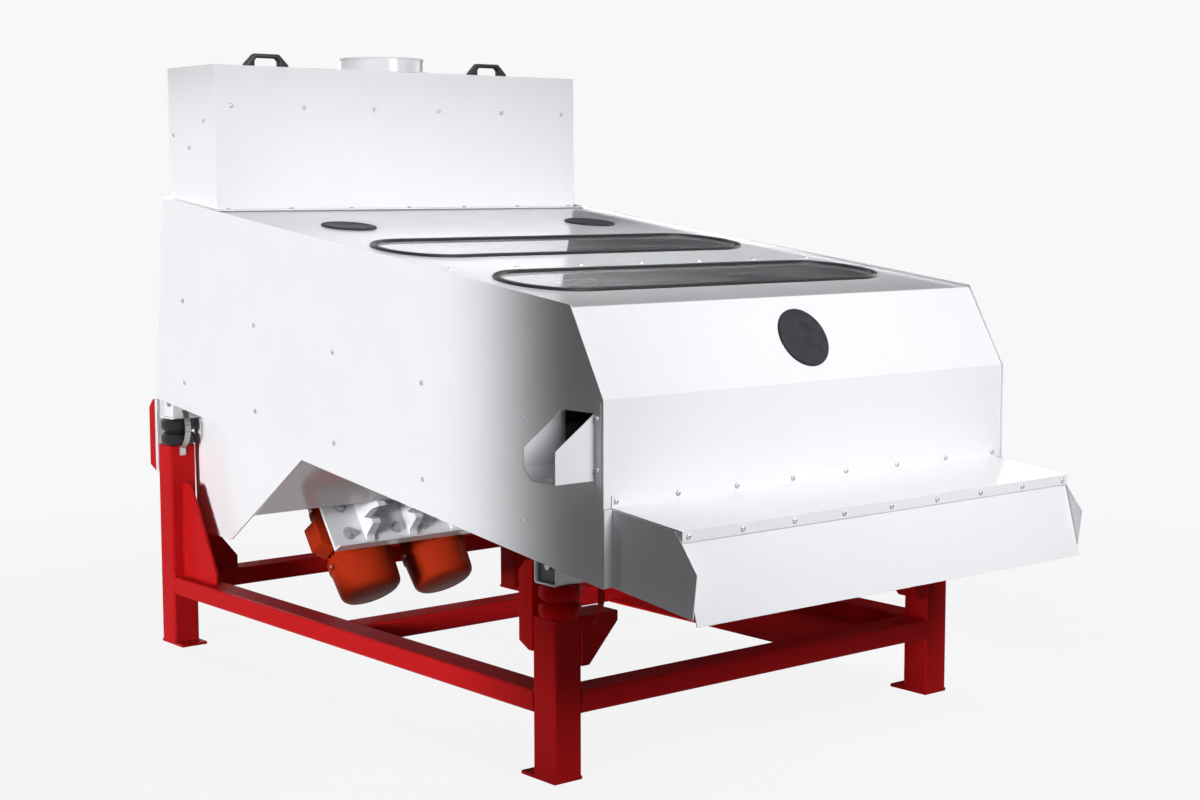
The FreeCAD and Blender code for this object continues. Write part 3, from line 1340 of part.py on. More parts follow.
half_length, half_width = size("frame_length") / 2, size("frame_width") / 2
leg = size("leg_size")
tube_half = size("cross_tube_size") / 2
tube_y = {"front": -half_length + leg / 2 - size("front_tube_shift"),
          "rear": half_length - leg / 2 - size("rear_tube_shift")}
leg_top = {end: size(f"{end}_leg_top") for end in ENDS}
tube_z = {end: leg_top[end] + size(f"{end}_spring_height") for end in ENDS}
leg_front = {"front": -half_length, "rear": half_length - leg}
FRONTWARD = Vector(0, -1, 0)
straps, frame_heads, tube_heads = [], [], []
for end in ENDS:
    for sign in SIDES.values():
        x = sign * size(f"{end}_strap_x")
        top = (tube_y[end] - tube_half, tube_z[end] + size("strap_above"))
        low = (leg_front[end], leg_top[end] - size("strap_below"))
        straps.append(strap_shape(x - size("strap_width") / 2, top, low, size("strap_bulge"),
                                  size("strap_tab"), size("strap_width"), size("strap_thickness")))
        gap = size("strap_thickness")
        tube_heads.append(hex_head(Vector(x, top[0] - gap, top[1]), FRONTWARD,
                                   size("bolt_flats"), size("bolt_head")))
        frame_heads.append(hex_head(Vector(x, low[0] - gap, low[1]), FRONTWARD,
                                    size("bolt_flats"), size("bolt_head")))
        guard_y = (-half_length + leg if end == "front" else half_length) \
            + size("guard_pad") + size("guard_wall")
        guard_x = sign * (half_width - leg / 2)
        for z in (leg_top[end] - size("guard_below") / 2, leg_top[end] - size("guard_below") / 5):
            frame_heads.append(hex_head(Vector(guard_x, guard_y, z), Vector(0, 1, 0),
                                        size("bolt_flats"), size("bolt_head")))
feature_of("earthing_straps", straps)
feature_of("frame_bolts", frame_heads)

# Motor bolts with washers on the bracket's face, and the strap bolts of the cross tubes

throw = math.radians(size("throw_angle"))


def carrier_point(x, y, z):
    """A point given in the motor carrier's turned axes."""
    return Vector(x, y * math.cos(throw) + z * math.sin(throw), z * math.cos(throw) - y * math.sin(throw))


carrier_origin = Vector(0, size("carrier_origin_y"), size("carrier_origin_z"))
outward = carrier_point(0, -1, 0)
bolt_rows = size("motor_low_end") + size("motor_cap_length") + size("motor_body_length") / 2
for sign in SIDES.values():
    for across in (-1, 1):
        for along in (-1, 1):
            x = sign * size("motor_spacing") / 2 + across * size("motor_bolt_out")
            z = bolt_rows + along * size("motor_bolt_pitch") / 2
            foot = carrier_origin + carrier_point(x, size("bracket_face"), z)
            washer = Part.makeCylinder(size("motor_washer") / 2, size("motor_washer_thickness"),
                                       foot, outward)
            crown = foot + outward * size("motor_washer_thickness")
            head = hex_head(crown, outward, size("motor_bolt_flats"), size("motor_bolt_head"))
            tube_heads.append(washer.fuse(head).removeSplitter())
feature_of("heavy_bolts", tube_heads)

# Bolts of the sheet metal, in rows

slope = math.radians(size("deck_slope"))
cover_origin = Vector(0, size("panel_rear_top_y"), size("panel_rear_top_z") - size("cover_drop"))
cover_up = Vector(0, -math.sin(slope), math.cos(slope))


def on_cover(x, along, height=0.0):
    """A point on the sloping top, measured forward from its rear edge."""
    step = Vector(x, -along * math.cos(slope), -along * math.sin(slope))
    return cover_origin + step + cover_up * height


def spread(low, high, count):
    return [low + (high - low) * step / (count - 1) for step in range(count)]


heads = []
# Bolts in the ends of the inlet box, as shares of its depth from the front and of its height
BOX_SIDE_SHARES = [(0.242, 0.42), (0.895, 0.52), (0.557, 0.62)]


def add_row(points, axis):
    for point in points:
        heads.append(hex_head(point, axis, size("bolt_flats"), size("bolt_head")))


side_pitch = size("frame_length * side_bolt_share")
side_start = size("frame_length / 2 - side_bolt_inset")
for sign in SIDES.values():
    out = Vector(sign, 0, 0)
    face = sign * size("body_half_width")
    for start in (size("datum + side_bolt_upper_rise"), size("datum + side_bolt_lower_rise")):
        add_row([Vector(face, side_start - step * side_pitch,
                        start - step * side_pitch * math.tan(slope)) for step in range(5)], out)
    box_face = sign * size("inlet_half_width")
    add_row([Vector(box_face, size(f"inlet_front_y + inlet_depth * {along}"),
                    size(f"inlet_top_z - inlet_rise * {down}"))
             for along, down in BOX_SIDE_SHARES], out)
spout_face = -size("body_half_width + spout_sheet")
front_y = size("-spout_front_y - spout_flange / 2")
rear_y = size("-spout_front_y + spout_width + spout_flange / 2")
low_z = size("spout_floor_z + spout_flange")
high_z = size("spout_floor_z + spout_height - spout_flange / 2")
add_row([Vector(spout_face, front_y, low_z), Vector(spout_face, front_y, high_z),
         Vector(spout_face, rear_y, high_z)], Vector(-1, 0, 0))
nose = -size(f"{NOSE_Y} + chute_sheet")
reach = size("chute_half_width - chute_row_margin")
upstand_z = size("chute_rear_z + chute_upstand / 2")
add_row([Vector(x, nose, upstand_z) for x in spread(-reach, reach, 8)], FRONTWARD)
lip_z = size("chute_front_z - chute_lip / 2")
reach = size("chute_half_width - 1.4 * chute_row_margin")
add_row([Vector(x, -size("chute_front_y"), lip_z) for x in spread(-reach, reach, 9)], FRONTWARD)
reach = size("body_half_width - row_margin")
joint_at = size("cover_joint - bolt_flats")
add_row([on_cover(x, joint_at) for x in spread(-reach, reach, 7)], cover_up)
reach = size("inlet_half_width - box_row_margin")
box_row_z = size("inlet_top_z - box_row_drop")
add_row([Vector(x, size("inlet_front_y"), box_row_z) for x in spread(-reach, reach, 6)], FRONTWARD)
rim_at = size("(panel_rear_top_y - inlet_front_y + inlet_flange / 2) / cos(deck_slope)")
rim_lift = size("(gasket_thickness + inlet_sheet) * cos(deck_slope)")
reach = size("inlet_half_width - rim_row_margin")
add_row([on_cover(x, rim_at, rim_lift) for x in spread(-reach, reach, 7)], cover_up)
feature_of("cover_bolts", heads)

# Check every sub-part, then write one file for each

doc.recompute()
for item in doc.Objects:
    if "Invalid" in item.State or "Error" in item.State:
        raise SystemExit(f"{item.Label} failed: {item.State}")
os.makedirs("parts", exist_ok=True)
for label, item in nodes.items():
    item.Label = label
    if item.Shape.isNull() or not item.Shape.isValid() or not item.Shape.Solids:
        raise SystemExit(f"{label} has no valid solid")
    item.Shape.exportStep(os.path.join("parts", label + ".step"))
print(len(nodes), "sub-parts written")
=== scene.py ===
import json
import math

import bmesh
import bpy
from mathutils import Matrix, Vector


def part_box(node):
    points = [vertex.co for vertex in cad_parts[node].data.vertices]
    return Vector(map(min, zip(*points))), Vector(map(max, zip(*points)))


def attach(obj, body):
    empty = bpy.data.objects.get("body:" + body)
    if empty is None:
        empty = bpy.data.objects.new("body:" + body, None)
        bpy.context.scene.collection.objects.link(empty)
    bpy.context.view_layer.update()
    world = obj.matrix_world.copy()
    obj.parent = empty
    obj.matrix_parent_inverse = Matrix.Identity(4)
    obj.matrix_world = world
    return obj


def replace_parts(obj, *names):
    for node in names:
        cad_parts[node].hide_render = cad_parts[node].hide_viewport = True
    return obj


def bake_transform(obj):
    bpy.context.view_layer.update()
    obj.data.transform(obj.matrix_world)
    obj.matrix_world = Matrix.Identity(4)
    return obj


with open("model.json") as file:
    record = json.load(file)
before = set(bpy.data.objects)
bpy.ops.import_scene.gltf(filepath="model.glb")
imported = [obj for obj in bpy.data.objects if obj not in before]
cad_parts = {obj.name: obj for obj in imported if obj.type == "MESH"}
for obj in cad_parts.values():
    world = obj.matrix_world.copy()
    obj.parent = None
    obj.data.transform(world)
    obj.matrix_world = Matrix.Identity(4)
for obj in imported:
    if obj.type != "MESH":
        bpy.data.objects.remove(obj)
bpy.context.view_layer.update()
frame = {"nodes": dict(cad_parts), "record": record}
NODES = frame["nodes"]
MM = 0.001

# Photographer's bench
# A pale floor that runs into a white backdrop, and a camera on a stand 1.68 m high, in front of
# the machine and to its left.

scene = bpy.context.scene
scene.view_settings.view_transform = "Standard"

camera_data = bpy.data.cameras.new("camera")
camera_data.sensor_width = 36
camera_data.lens = 59.74
camera_data.clip_end = 200
camera = bpy.data.objects.new("camera", camera_data)
scene.collection.objects.link(camera)
CAMERA_PLACE = Vector((-4.213, -5.475, 1.679))
CAMERA_YAW, CAMERA_PITCH, CAMERA_ROLL = math.radians(39.55), math.radians(6.118), math.radians(-0.091)
look = Matrix.Rotation(-CAMERA_YAW, 4, "Z") @ Matrix.Rotation(math.pi / 2 - CAMERA_PITCH, 4, "X")
camera.matrix_world = Matrix.Translation(CAMERA_PLACE) @ look @ Matrix.Rotation(CAMERA_ROLL, 4, "Z")
scene.camera = camera


def linear(code):
    """An sRGB hex colour as linear RGBA."""
    parts = [int(code[k:k + 2], 16) / 255 for k in (1, 3, 5)]
    return [p / 12.92 if p <= 0.04045 else ((p + 0.055) / 1.055) ** 2.4 for p in parts] + [1]


def add(tree, kind, settings=None, **links):
    """Adds a node with its settings. A link is a socket name with an output, or a plain value."""
    item = tree.nodes.new("ShaderNode" + kind)
    for name, value in (settings or {}).items():
        setattr(item, name, value)
    for name, value in links.items():
        key = int(name[1:]) if name[0] == "_" else name.replace("_", " ")
        socket = item.inputs[key]
        if isinstance(value, bpy.types.NodeSocket):
            tree.links.new(value, socket)
        else:
            socket.default_value = value
    return item


def new_material(name):
    """An empty material and its node tree."""
    material = bpy.data.materials.new(name)
    material.use_nodes = True
    material.node_tree.nodes.clear()
    return material, material.node_tree


# The camera and the gloss see white paper all round, and the room itself gives hardly any light
PAPER = "#F8F8F8"
AMBIENT = 0.02

world = bpy.data.worlds.new("backdrop")
world.use_nodes = True
scene.world = world
sky = world.node_tree
sky.nodes.clear()
ray = add(sky, "LightPath")
seen = add(sky, "Math", {"operation": "ADD", "use_clamp": True},
           _0=ray.outputs["Is Camera Ray"], _1=ray.outputs["Is Glossy Ray"])
seen = add(sky, "Math", {"operation": "ADD", "use_clamp": True},
           _0=seen.outputs[0], _1=ray.outputs["Is Transmission Ray"])
shown = add(sky, "Background", Color=linear(PAPER), Strength=1.0)
lit = add(sky, "Background", Color=linear("#F4F6FF"), Strength=AMBIENT)
both = add(sky, "MixShader", _0=seen.outputs[0], _1=lit.outputs[0], _2=shown.outputs[0])
add(sky, "OutputWorld", Surface=both.outputs[0])

FLOOR_HALF = 20.0
floor_mesh = bmesh.new()
bmesh.ops.create_grid(floor_mesh, x_segments=1, y_segments=1, size=FLOOR_HALF)


def finish_mesh(bm, name, material, body=None, auto=None):
    """Turns a bmesh into an object at the origin. Smooth faces stay sharp over the auto angle."""
    mesh = bpy.data.meshes.new(name)
    bm.normal_update()
    for face in bm.faces:
        face.smooth = auto is not None
    if auto is not None:
        for edge in bm.edges:
            edge.smooth = len(edge.link_faces) == 2 and edge.calc_face_angle(0) < math.radians(auto)
    bm.to_mesh(mesh)
    bm.free()
    piece = bpy.data.objects.new(name, mesh)
    scene.collection.objects.link(piece)
    mesh.materials.append(material)
    if body:
        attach(piece, body)
    return piece


# The paper is brightest far from the machine, and keeps a faint shadow near it
SHADED_WITHIN, BRIGHT_BEYOND, NEAR_SHARE = 1.8, 4.5, 0.94
paper, tree = new_material("seamless paper")
ray = add(tree, "LightPath")
seen = add(tree, "Math", {"operation": "ADD", "use_clamp": True},
           _0=ray.outputs["Is Camera Ray"], _1=ray.outputs["Is Glossy Ray"])
place = add(tree, "TexCoord")
away = add(tree, "VectorMath", {"operation": "LENGTH"}, _0=place.outputs["Object"])
fade = add(tree, "MapRange", None, Value=away.outputs["Value"], From_Min=SHADED_WITHIN,
           From_Max=BRIGHT_BEYOND, To_Min=NEAR_SHARE, To_Max=1.0)
matt = add(tree, "BsdfDiffuse", Color=linear(PAPER))
glow = add(tree, "Emission", Color=linear(PAPER), Strength=1.0)
bright = add(tree, "MixShader", _0=fade.outputs[0], _1=matt.outputs[0], _2=glow.outputs[0])
dull = add(tree, "BsdfDiffuse", Color=linear("#8C8C8C"))
both = add(tree, "MixShader", _0=seen.outputs[0], _1=dull.outputs[0], _2=bright.outputs[0])
add(tree, "OutputMaterial", Surface=both.outputs[0])
floor = finish_mesh(floor_mesh, "floor", paper)

# Lamps: (name, place, aim, width, height, watts, spread in degrees). Those of a small spread have
# a honeycomb grid, so that the light of the side one stops short of the machine's front end.
WIDE_SPREAD = 90
LAMPS = [
    ("front", (0.2, -4.3, 2.90), (0.1, -1.3, 1.0), 2.0, 2.2, 133, 180),
    ("side", (-3.40, -0.64, 1.35), (-0.80, 0.38, 0.96), 2.45, 2.5, 20.8, 18),
    ("legs", (-3.2, -1.62, 0.22), (-0.83, -1.46, 0.17), 0.7, 0.4, 0.50, 14),
    ("covers", (0.1, -0.35, 4.4), (0.1, -0.42, 1.4), 1.9, 1.3, 6.2, 18),
    ("chute", (0.0, -1.75, 3.4), (0.0, -1.6, 0.8), 2.0, 0.7, 0.6, 30),
    ("right", (5.2, 0.4, 2.6), (0.5, 0.0, 1.0), 3.0, 2.6, 50, 180),
    ("back", (0.5, 6.2, 2.8), (0.0, 0.8, 1.1), 3.2, 2.6, 110, 180),
]
for name, spot, aim, width, height, watts, spread in LAMPS:
    lamp = bpy.data.lights.new(name, "AREA")
    lamp.shape = "RECTANGLE"
    lamp.size, lamp.size_y, lamp.energy = width, height, watts
    lamp.spread = math.radians(spread)
    holder = bpy.data.objects.new(name + "_lamp", lamp)
    scene.collection.objects.link(holder)
    holder.location = spot
    holder.rotation_euler = (Vector(aim) - Vector(spot)).to_track_quat("-Z", "Y").to_euler()
    holder.visible_camera = False
    holder.visible_glossy = spread > WIDE_SPREAD

# Dark card behind the machine: it is only there for the gloss of the top covers and panes
CARD_PLACE, CARD_HALF_WIDTH, CARD_HALF_HEIGHT = (6.4, 6.2, 3.3), 4.6, 3.2
card_mesh = bmesh.new()
bmesh.ops.create_grid(card_mesh, x_segments=1, y_segments=1, size=1)
bmesh.ops.scale(card_mesh, vec=(CARD_HALF_WIDTH, CARD_HALF_HEIGHT, 1), verts=card_mesh.verts)
turn = Matrix.Rotation(-CAMERA_YAW, 4, "Z") @ Matrix.Rotation(math.pi / 2, 4, "X")
bmesh.ops.transform(card_mesh, matrix=Matrix.Translation(CARD_PLACE) @ turn, verts=card_mesh.verts)
felt, tree = new_material("black felt")
cloth = add(tree, "BsdfDiffuse", Color=linear("#3A3A3E"))
add(tree, "OutputMaterial", Surface=cloth.outputs[0])
card = finish_mesh(card_mesh, "card", felt)
card.visible_camera = card.visible_diffuse = card.visible_shadow = card.visible_transmission = False

# Powder coat
# Sheet steel, degreased, sprayed with white polyester powder and baked. It is glossy, with a
# faint orange peel, and its edges are softly rounded by the film of paint.

# Paint, rubber and plastic bend light by about as much
SURFACE_IOR = 1.5


def powder_coat(name, colour, peel=3.5, gloss=0.12, edge=1.2, vary=0.02, shine=0.5):
    """Baked paint: peel and edge in mm, gloss as roughness, shine as the strength of reflections."""
    material, tree = new_material(name)
    where = add(tree, "TexCoord").outputs["Object"]
    skin = add(tree, "TexNoise", None, Vector=where, Scale=1 / (peel * MM), Detail=2.0)
    cloud = add(tree, "TexNoise", None, Vector=where, Scale=3.0, Detail=3.0)
    soft = add(tree, "Bevel", {"samples": 4}, Radius=edge * MM)
    bump = add(tree, "Bump", None, Strength=0.06, Distance=0.2 * MM, Height=skin.outputs["Fac"],
               Normal=soft.outputs[0])
    tone = add(tree, "MapRange", None, Value=cloud.outputs["Fac"], From_Min=0.3, From_Max=0.7,
               To_Min=1 - vary, To_Max=1.0)
    paint = add(tree, "HueSaturation", None, Color=linear(colour), Value=tone.outputs[0])
    rough = add(tree, "MapRange", None, Value=cloud.outputs["Fac"], From_Min=0.3, From_Max=0.7,
                To_Min=gloss - 0.03, To_Max=gloss + 0.04)
    shader = add(tree, "BsdfPrincipled", None, Base_Color=paint.outputs[0], IOR=SURFACE_IOR,
                 Roughness=rough.outputs[0], Normal=bump.outputs[0], Specular_IOR_Level=shine)
    add(tree, "OutputMaterial", Surface=shader.outputs[0])
    return material


def dress(material, *names):
    """Gives CAD nodes a material."""
    for name in names:
        slots = NODES[name].material_slots
        if not slots:
            NODES[name].data.materials.append(material)
        for slot in slots:
            slot.material = material


white = powder_coat("white polyester powder coat", "#EFEFF3")
dress(white, "side_panel_left", "side_panel_right", "cross_tube_front", "cross_tube_rear",
      "top_cover_rear", "top_cover_front", "front_cover", "rear_wall", "chute_top", "chute_flap",
      "chute_cheeks", "side_spout", "carrier_plates", "carrier_wall", "motor_bracket",
      "inlet_box", "inlet_collar", "hatch_left", "hatch_right")

# Base frame
# Square and rectangular steel tube, sawn and welded, with plate gussets and folded guards.
# It is sprayed in one signal red, and the overspray also covers the small parts at the front.

red = powder_coat("red polyester powder coat", "#C01A1D", peel=4.0, gloss=0.3, edge=1.6, vary=0.06,
                  shine=0.02)
dress(red, "leg_front_left", "leg_front_right", "leg_rear_left", "leg_rear_right", "rail_left",
      "rail_right", "rail_front", "rail_rear", "rail_middle", "bay_plate", "leg_gussets",
      "spring_guards")


def plain(name, colour, rough=0.5, metal=0.0, grain=2.0, depth=0.1, vary=0.08, edge=0.0, shine=0.5):
    """One colour with a grain: grain, depth and edge in mm."""
    material, tree = new_material(name)
    where = add(tree, "TexCoord").outputs["Object"]
    skin = add(tree, "TexNoise", None, Vector=where, Scale=1 / (grain * MM), Detail=3.0)
    cloud = add(tree, "TexNoise", None, Vector=where, Scale=9.0, Detail=3.0)
    bump = add(tree, "Bump", None, Strength=0.2, Distance=depth * MM, Height=skin.outputs["Fac"])
    if edge:
        soft = add(tree, "Bevel", {"samples": 4}, Radius=edge * MM)
        tree.links.new(soft.outputs[0], bump.inputs["Normal"])
    tone = add(tree, "MapRange", None, Value=cloud.outputs["Fac"], From_Min=0.3, From_Max=0.7,
               To_Min=1 - vary, To_Max=1 + vary)
    paint = add(tree, "HueSaturation", None, Color=linear(colour), Value=tone.outputs[0])
    worn = add(tree, "MapRange", None, Value=skin.outputs["Fac"], From_Min=0.3, From_Max=0.7,
               To_Min=rough - 0.06, To_Max=rough + 0.06)
    shader = add(tree, "BsdfPrincipled", None, Base_Color=paint.outputs[0], Metallic=metal,
                 Roughness=worn.outputs[0], IOR=SURFACE_IOR, Normal=bump.outputs[0],
                 Specular_IOR_Level=shine)
    add(tree, "OutputMaterial", Surface=shader.outputs[0])
    return material


def two_tone(name, rear, front, rough):
    """One colour behind the middle of the machine, and red overspray in front of it."""
    material, tree = new_material(name)
    where = add(tree, "TexCoord").outputs["Object"]
    grain = add(tree, "TexNoise", None, Vector=where, Scale=1 / (4 * MM), Detail=3.0)
    parts = add(tree, "SeparateXYZ", None, Vector=where)
    ahead = add(tree, "Math", {"operation": "LESS_THAN"}, _0=parts.outputs[1], _1=0.0)
    tone = add(tree, "MixRGB", None, _0=ahead.outputs[0], _1=linear(rear), _2=linear(front))
    bump = add(tree, "Bump", None, Strength=0.2, Distance=0.1 * MM, Height=grain.outputs["Fac"])
    shader = add(tree, "BsdfPrincipled", None, Base_Color=tone.outputs[0], Roughness=rough,
                 Specular_IOR_Level=0.1, Normal=bump.outputs[0])
    add(tree, "OutputMaterial", Surface=shader.outputs[0])
    return material


dress(two_tone("sawn polyethylene sheet", "#E6E4E8", "#C8080A", 0.55), "guard_pads")

# Inside of the body
# Trough, pan and screens are of galvanised sheet and mesh, on deck frames of planed beech.

galvanised = plain("galvanised sheet", "#8E9295", 0.4, metal=1.0, grain=8.0)
dress(galvanised, "overs_trough", "bottom_pan", "upper_screen", "lower_screen", "rotor_left", "rotor_right")
dress(plain("planed beech", "#B08A5A", 0.55, grain=6.0), "upper_deck_frame", "lower_deck_frame")

# Plates in the cross tubes
# A bulkhead of thin plate with a bolt is welded just inside each open end of the cross tubes.
# Those at the rear are painted white. Those at the front are coloured dark grey: painted shade
# inside the front tube ends.

PLATE_INSET = {"rear": 14 * MM, "front": 12 * MM}
# Both walls of a tube, with a little play for the plate
TUBE_WALLS = 10.4 * MM
PLATE_THICK, PLATE_EDGE = 5 * MM, 1.0 * MM
PLATE_BOLT = Vector((6, -6, 4)) * MM
PLATE_BOLT_FOOT, PLATE_BOLT_TOP, PLATE_BOLT_LONG = 12 * MM, 11 * MM, 9 * MM
# Dark grey for the front plates: painted shade inside the front tube ends
bulkhead = plain("bulkhead dark with painted shade", "#3A3C3F", 0.5, metal=0.6)
zinc_bolt = plain("dull zinc bolt", "#9A9DA2", 0.3, metal=1.0)
for tube, inset in PLATE_INSET.items():
    low, high = (Vector(corner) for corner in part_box("cross_tube_" + tube))
    centre = (low + high) / 2
    wide = high.y - low.y - TUBE_WALLS
    bm = bmesh.new()
    bolts = bmesh.new()
    for sign in (-1, 1):
        face_x = sign * (high.x - inset)
        made = bmesh.ops.create_cube(bm, size=1)["verts"]
        bmesh.ops.scale(bm, vec=(PLATE_THICK, wide, wide), verts=made)
        bmesh.ops.translate(bm, vec=(face_x, centre.y, centre.z), verts=made)
        seat = Vector((face_x + sign * PLATE_BOLT.x, centre.y + PLATE_BOLT.y, centre.z + PLATE_BOLT.z))
        bmesh.ops.create_cone(bolts, cap_ends=True, segments=6, radius1=PLATE_BOLT_FOOT,
                              radius2=PLATE_BOLT_TOP, depth=PLATE_BOLT_LONG,
                              matrix=Matrix.Translation(seat) @ Matrix.Rotation(math.pi / 2, 4, "Y"))
    bmesh.ops.bevel(bm, geom=bm.edges[:], offset=PLATE_EDGE, segments=2, profile=0.5, affect="EDGES",
                    material=-1)
    finish_mesh(bm, "tube_plates_" + tube, white if tube == "rear" else bulkhead, "sieve",
                auto=40)
    finish_mesh(bolts, "tube_bolts_" + tube, zinc_bolt, "sieve", auto=30)

# Welds
# Rippled beads of weld metal under the red paint, where gussets and rails meet the legs.

WELD_PITCH, WELD_RADIUS, WELD_SWELL = 5.5 * MM, 3.6 * MM, 1.28
WELD_LIFT, WELD_STOP, TUBE_CORNER = 0.5 * MM, 6 * MM, 9 * MM
THIN_PLATE, LEG_SIZE, FOOT_START = 20 * MM, 100 * MM, 8 * MM


def weld_run(bm, start, end):
    """A rippled bead from start to end."""
    way = Vector(end) - Vector(start)
    seat = Matrix.Translation(start) @ way.to_track_quat("Z", "Y").to_matrix().to_4x4()
    made = bmesh.ops.create_circle(bm, cap_ends=True, radius=WELD_RADIUS, segments=7, matrix=seat)
    face = made["verts"][0].link_faces[0]
    count = max(2, round(way.length / WELD_PITCH))
    for step in range(count * 2):
        made = bmesh.ops.extrude_face_region(bm, geom=[face])["geom"]
        face = [item for item in made if isinstance(item, bmesh.types.BMFace)][0]
        ring = [item for item in made if isinstance(item, bmesh.types.BMVert)]
        bmesh.ops.translate(bm, vec=way / count / 2, verts=ring)
        size = WELD_SWELL if step % 2 == 0 else 1 / WELD_SWELL
        middle = sum((vert.co for vert in ring), Vector()) / len(ring)
        bmesh.ops.scale(bm, vec=(size, size, size), space=Matrix.Translation(-middle), verts=ring)


SAME_CORNER = 0.001 * MM


def islands(name):
    """The separate solids of a CAD node, each as a list of its corner points."""
    bm = bmesh.new()
    bm.from_mesh(NODES[name].data)
    bmesh.ops.remove_doubles(bm, verts=bm.verts, dist=SAME_CORNER)
    found = []
    for first in bm.verts:
        if first.tag:
            continue
        first.tag = True
        group, queue = [], [first]
        while queue:
            vert = queue.pop()
            group.append(vert.co.copy())
            for edge in vert.link_edges:
                other = edge.other_vert(vert)
                if not other.tag:
                    other.tag = True
                    queue.append(other)
        found.append(group)
    bm.free()
    return found


welds = bmesh.new()
RAIL_TOP, RAIL_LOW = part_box("rail_left")[1][2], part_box("rail_left")[0][2]
for corners in islands("leg_gussets"):
    spans = [(min(c[k] for c in corners), max(c[k] for c in corners)) for k in range(3)]
    (x0, x1), (y0, y1), (z0, z1) = spans
    rear = (y0 + y1) / 2 > 0
    left = (x0 + x1) / 2 < 0
    low_end, high_end = z0 + WELD_STOP, z1 - WELD_STOP
    if x1 - x0 < THIN_PLATE:
        # A gusset along the machine, welded to the leg's face and to the rail below it
        face, tip = (y1, y0) if rear else (y0, y1)
        away = -1 if rear else 1
        root = face + away * WELD_LIFT
        for x in (x0, x1):
            weld_run(welds, (x, root, low_end), (x, root, high_end))
            weld_run(welds, (x, face + away * FOOT_START, z0), (x, tip - away * WELD_STOP, z0))
    else:
        # A gusset or corbel across the machine, welded to the leg's inner side
        root = x0 + WELD_LIFT if left else x1 - WELD_LIFT
        for y in (y0, y1):
            weld_run(welds, (root, y, low_end), (root, y, high_end))
for leg in ("front_left", "front_right", "rear_left", "rear_right"):
    low, high = (Vector(corner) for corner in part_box("leg_" + leg))
    inner_x = low.x if low.x > 0 else high.x
    rear = low.y > 0
    face_y = high.y - LEG_SIZE if rear else low.y + LEG_SIZE
    foremost = face_y if rear else low.y
    for level in (RAIL_LOW, RAIL_TOP):
        weld_run(welds, (low.x + TUBE_CORNER, face_y, level), (high.x - TUBE_CORNER, face_y, level))
        weld_run(welds, (inner_x, foremost + TUBE_CORNER, level),
                 (inner_x, foremost + LEG_SIZE - TUBE_CORNER, level))
finish_mesh(welds, "frame_welds", red, "frame", auto=60)

# Rubber springs
# Double bellows of moulded black rubber, each vulcanised to a steel plate at both ends. In the
# machine they carry the body and stretch with it; here they are drawn at rest, joined to neither
# body. Those at the front were sprayed over with the frame.

rubber = plain("moulded natural rubber", "#131416", 0.42, grain=2.5, depth=0.3, vary=0.15, shine=0.35)
sprayed = plain("natural rubber with red overspray", "#B4070A", 0.45, grain=2.5, depth=0.3, vary=0.2,
                shine=0.05)
SEAM = 0.01 * MM
# Half of a section: radius in mm, and height as a share of the spring
SPRING_SECTION = [(0, 0), (49, 0), (57, 0.04), (61, 0.12), (61.0, 0.34), (58, 0.42), (51, 0.465),
                  (46.5, 0.48), (46.5, 0.52), (51, 0.535), (58, 0.58), (61, 0.66), (61.0, 0.88),
                  (57, 0.96), (49, 1), (0, 1)]


def turned(section, steps=32):
    """A closed shape turned round the z axis from pairs of radius and height."""
    bm = bmesh.new()
    points = [bm.verts.new((radius, 0, height)) for radius, height in section]
    edges = [bm.edges.new(pair) for pair in zip(points, points[1:])]
    bmesh.ops.spin(bm, geom=points + edges, cent=(0, 0, 0), axis=(0, 0, 1), angle=math.tau,
                   steps=steps, use_merge=True)
    bmesh.ops.remove_doubles(bm, verts=bm.verts, dist=SEAM)
    bmesh.ops.recalc_face_normals(bm, faces=bm.faces)
    return bm


for spring in ("front_left", "front_right", "rear_left", "rear_right"):
    low, high = (Vector(corner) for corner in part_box("spring_" + spring))
    centre = (low + high) / 2
    bm = turned([(radius * MM, share * (high.z - low.z)) for radius, share in SPRING_SECTION], 40)
    bmesh.ops.translate(bm, vec=(centre.x, centre.y, low.z), verts=bm.verts)
    skin = sprayed if "front" in spring else rubber
    bellows = finish_mesh(bm, "bellows_" + spring, skin, None, auto=50)
    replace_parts(bellows, "spring_" + spring)
    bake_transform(bellows)

# Bolts
# Zinc-plated hexagon bolts with washers hold the motors, guards and straps. The sheets are held
# by small bright button heads with a hexagon socket.

zinc = plain("zinc-plated steel", "#C6C9CE", 0.28, metal=0.6, grain=1.5, edge=0.8)
dress(zinc, "heavy_bolts")
dress(two_tone("bolts sprayed at the front", "#C6C9CE", "#B0080B", 0.35), "frame_bolts")
bright = plain("stainless button head", "#C6C9CE", 0.25, metal=0.6, grain=1.0)
# The covers fall to the front
SLOPE = math.radians(6.92)
COVER_UP = Vector((0, -math.sin(SLOPE), math.cos(SLOPE)))
# A button head's section in mm: radius and height, from the floor of the socket round to its foot
BUTTON_SECTION = [(0, 1.8), (2.6, 1.8), (2.9, 5.0), (4.2, 5.3), (6.4, 4.4), (7.9, 2.6), (8.5, 0), (0, 0)]


def onto(place, axis):
    """Puts a piece's origin at a place and its z axis along an axis."""
    return Matrix.Translation(place) @ Vector(axis).to_track_quat("Z", "Y").to_matrix().to_4x4()


def stamp(target, source, matrix):
    """Adds a moved copy of one bmesh to another."""
    copy = source.copy()
    bmesh.ops.transform(copy, matrix=matrix, verts=copy.verts)
    scratch = bpy.data.meshes.new("scratch")
    copy.to_mesh(scratch)
    target.from_mesh(scratch)
    copy.free()
    bpy.data.meshes.remove(scratch)


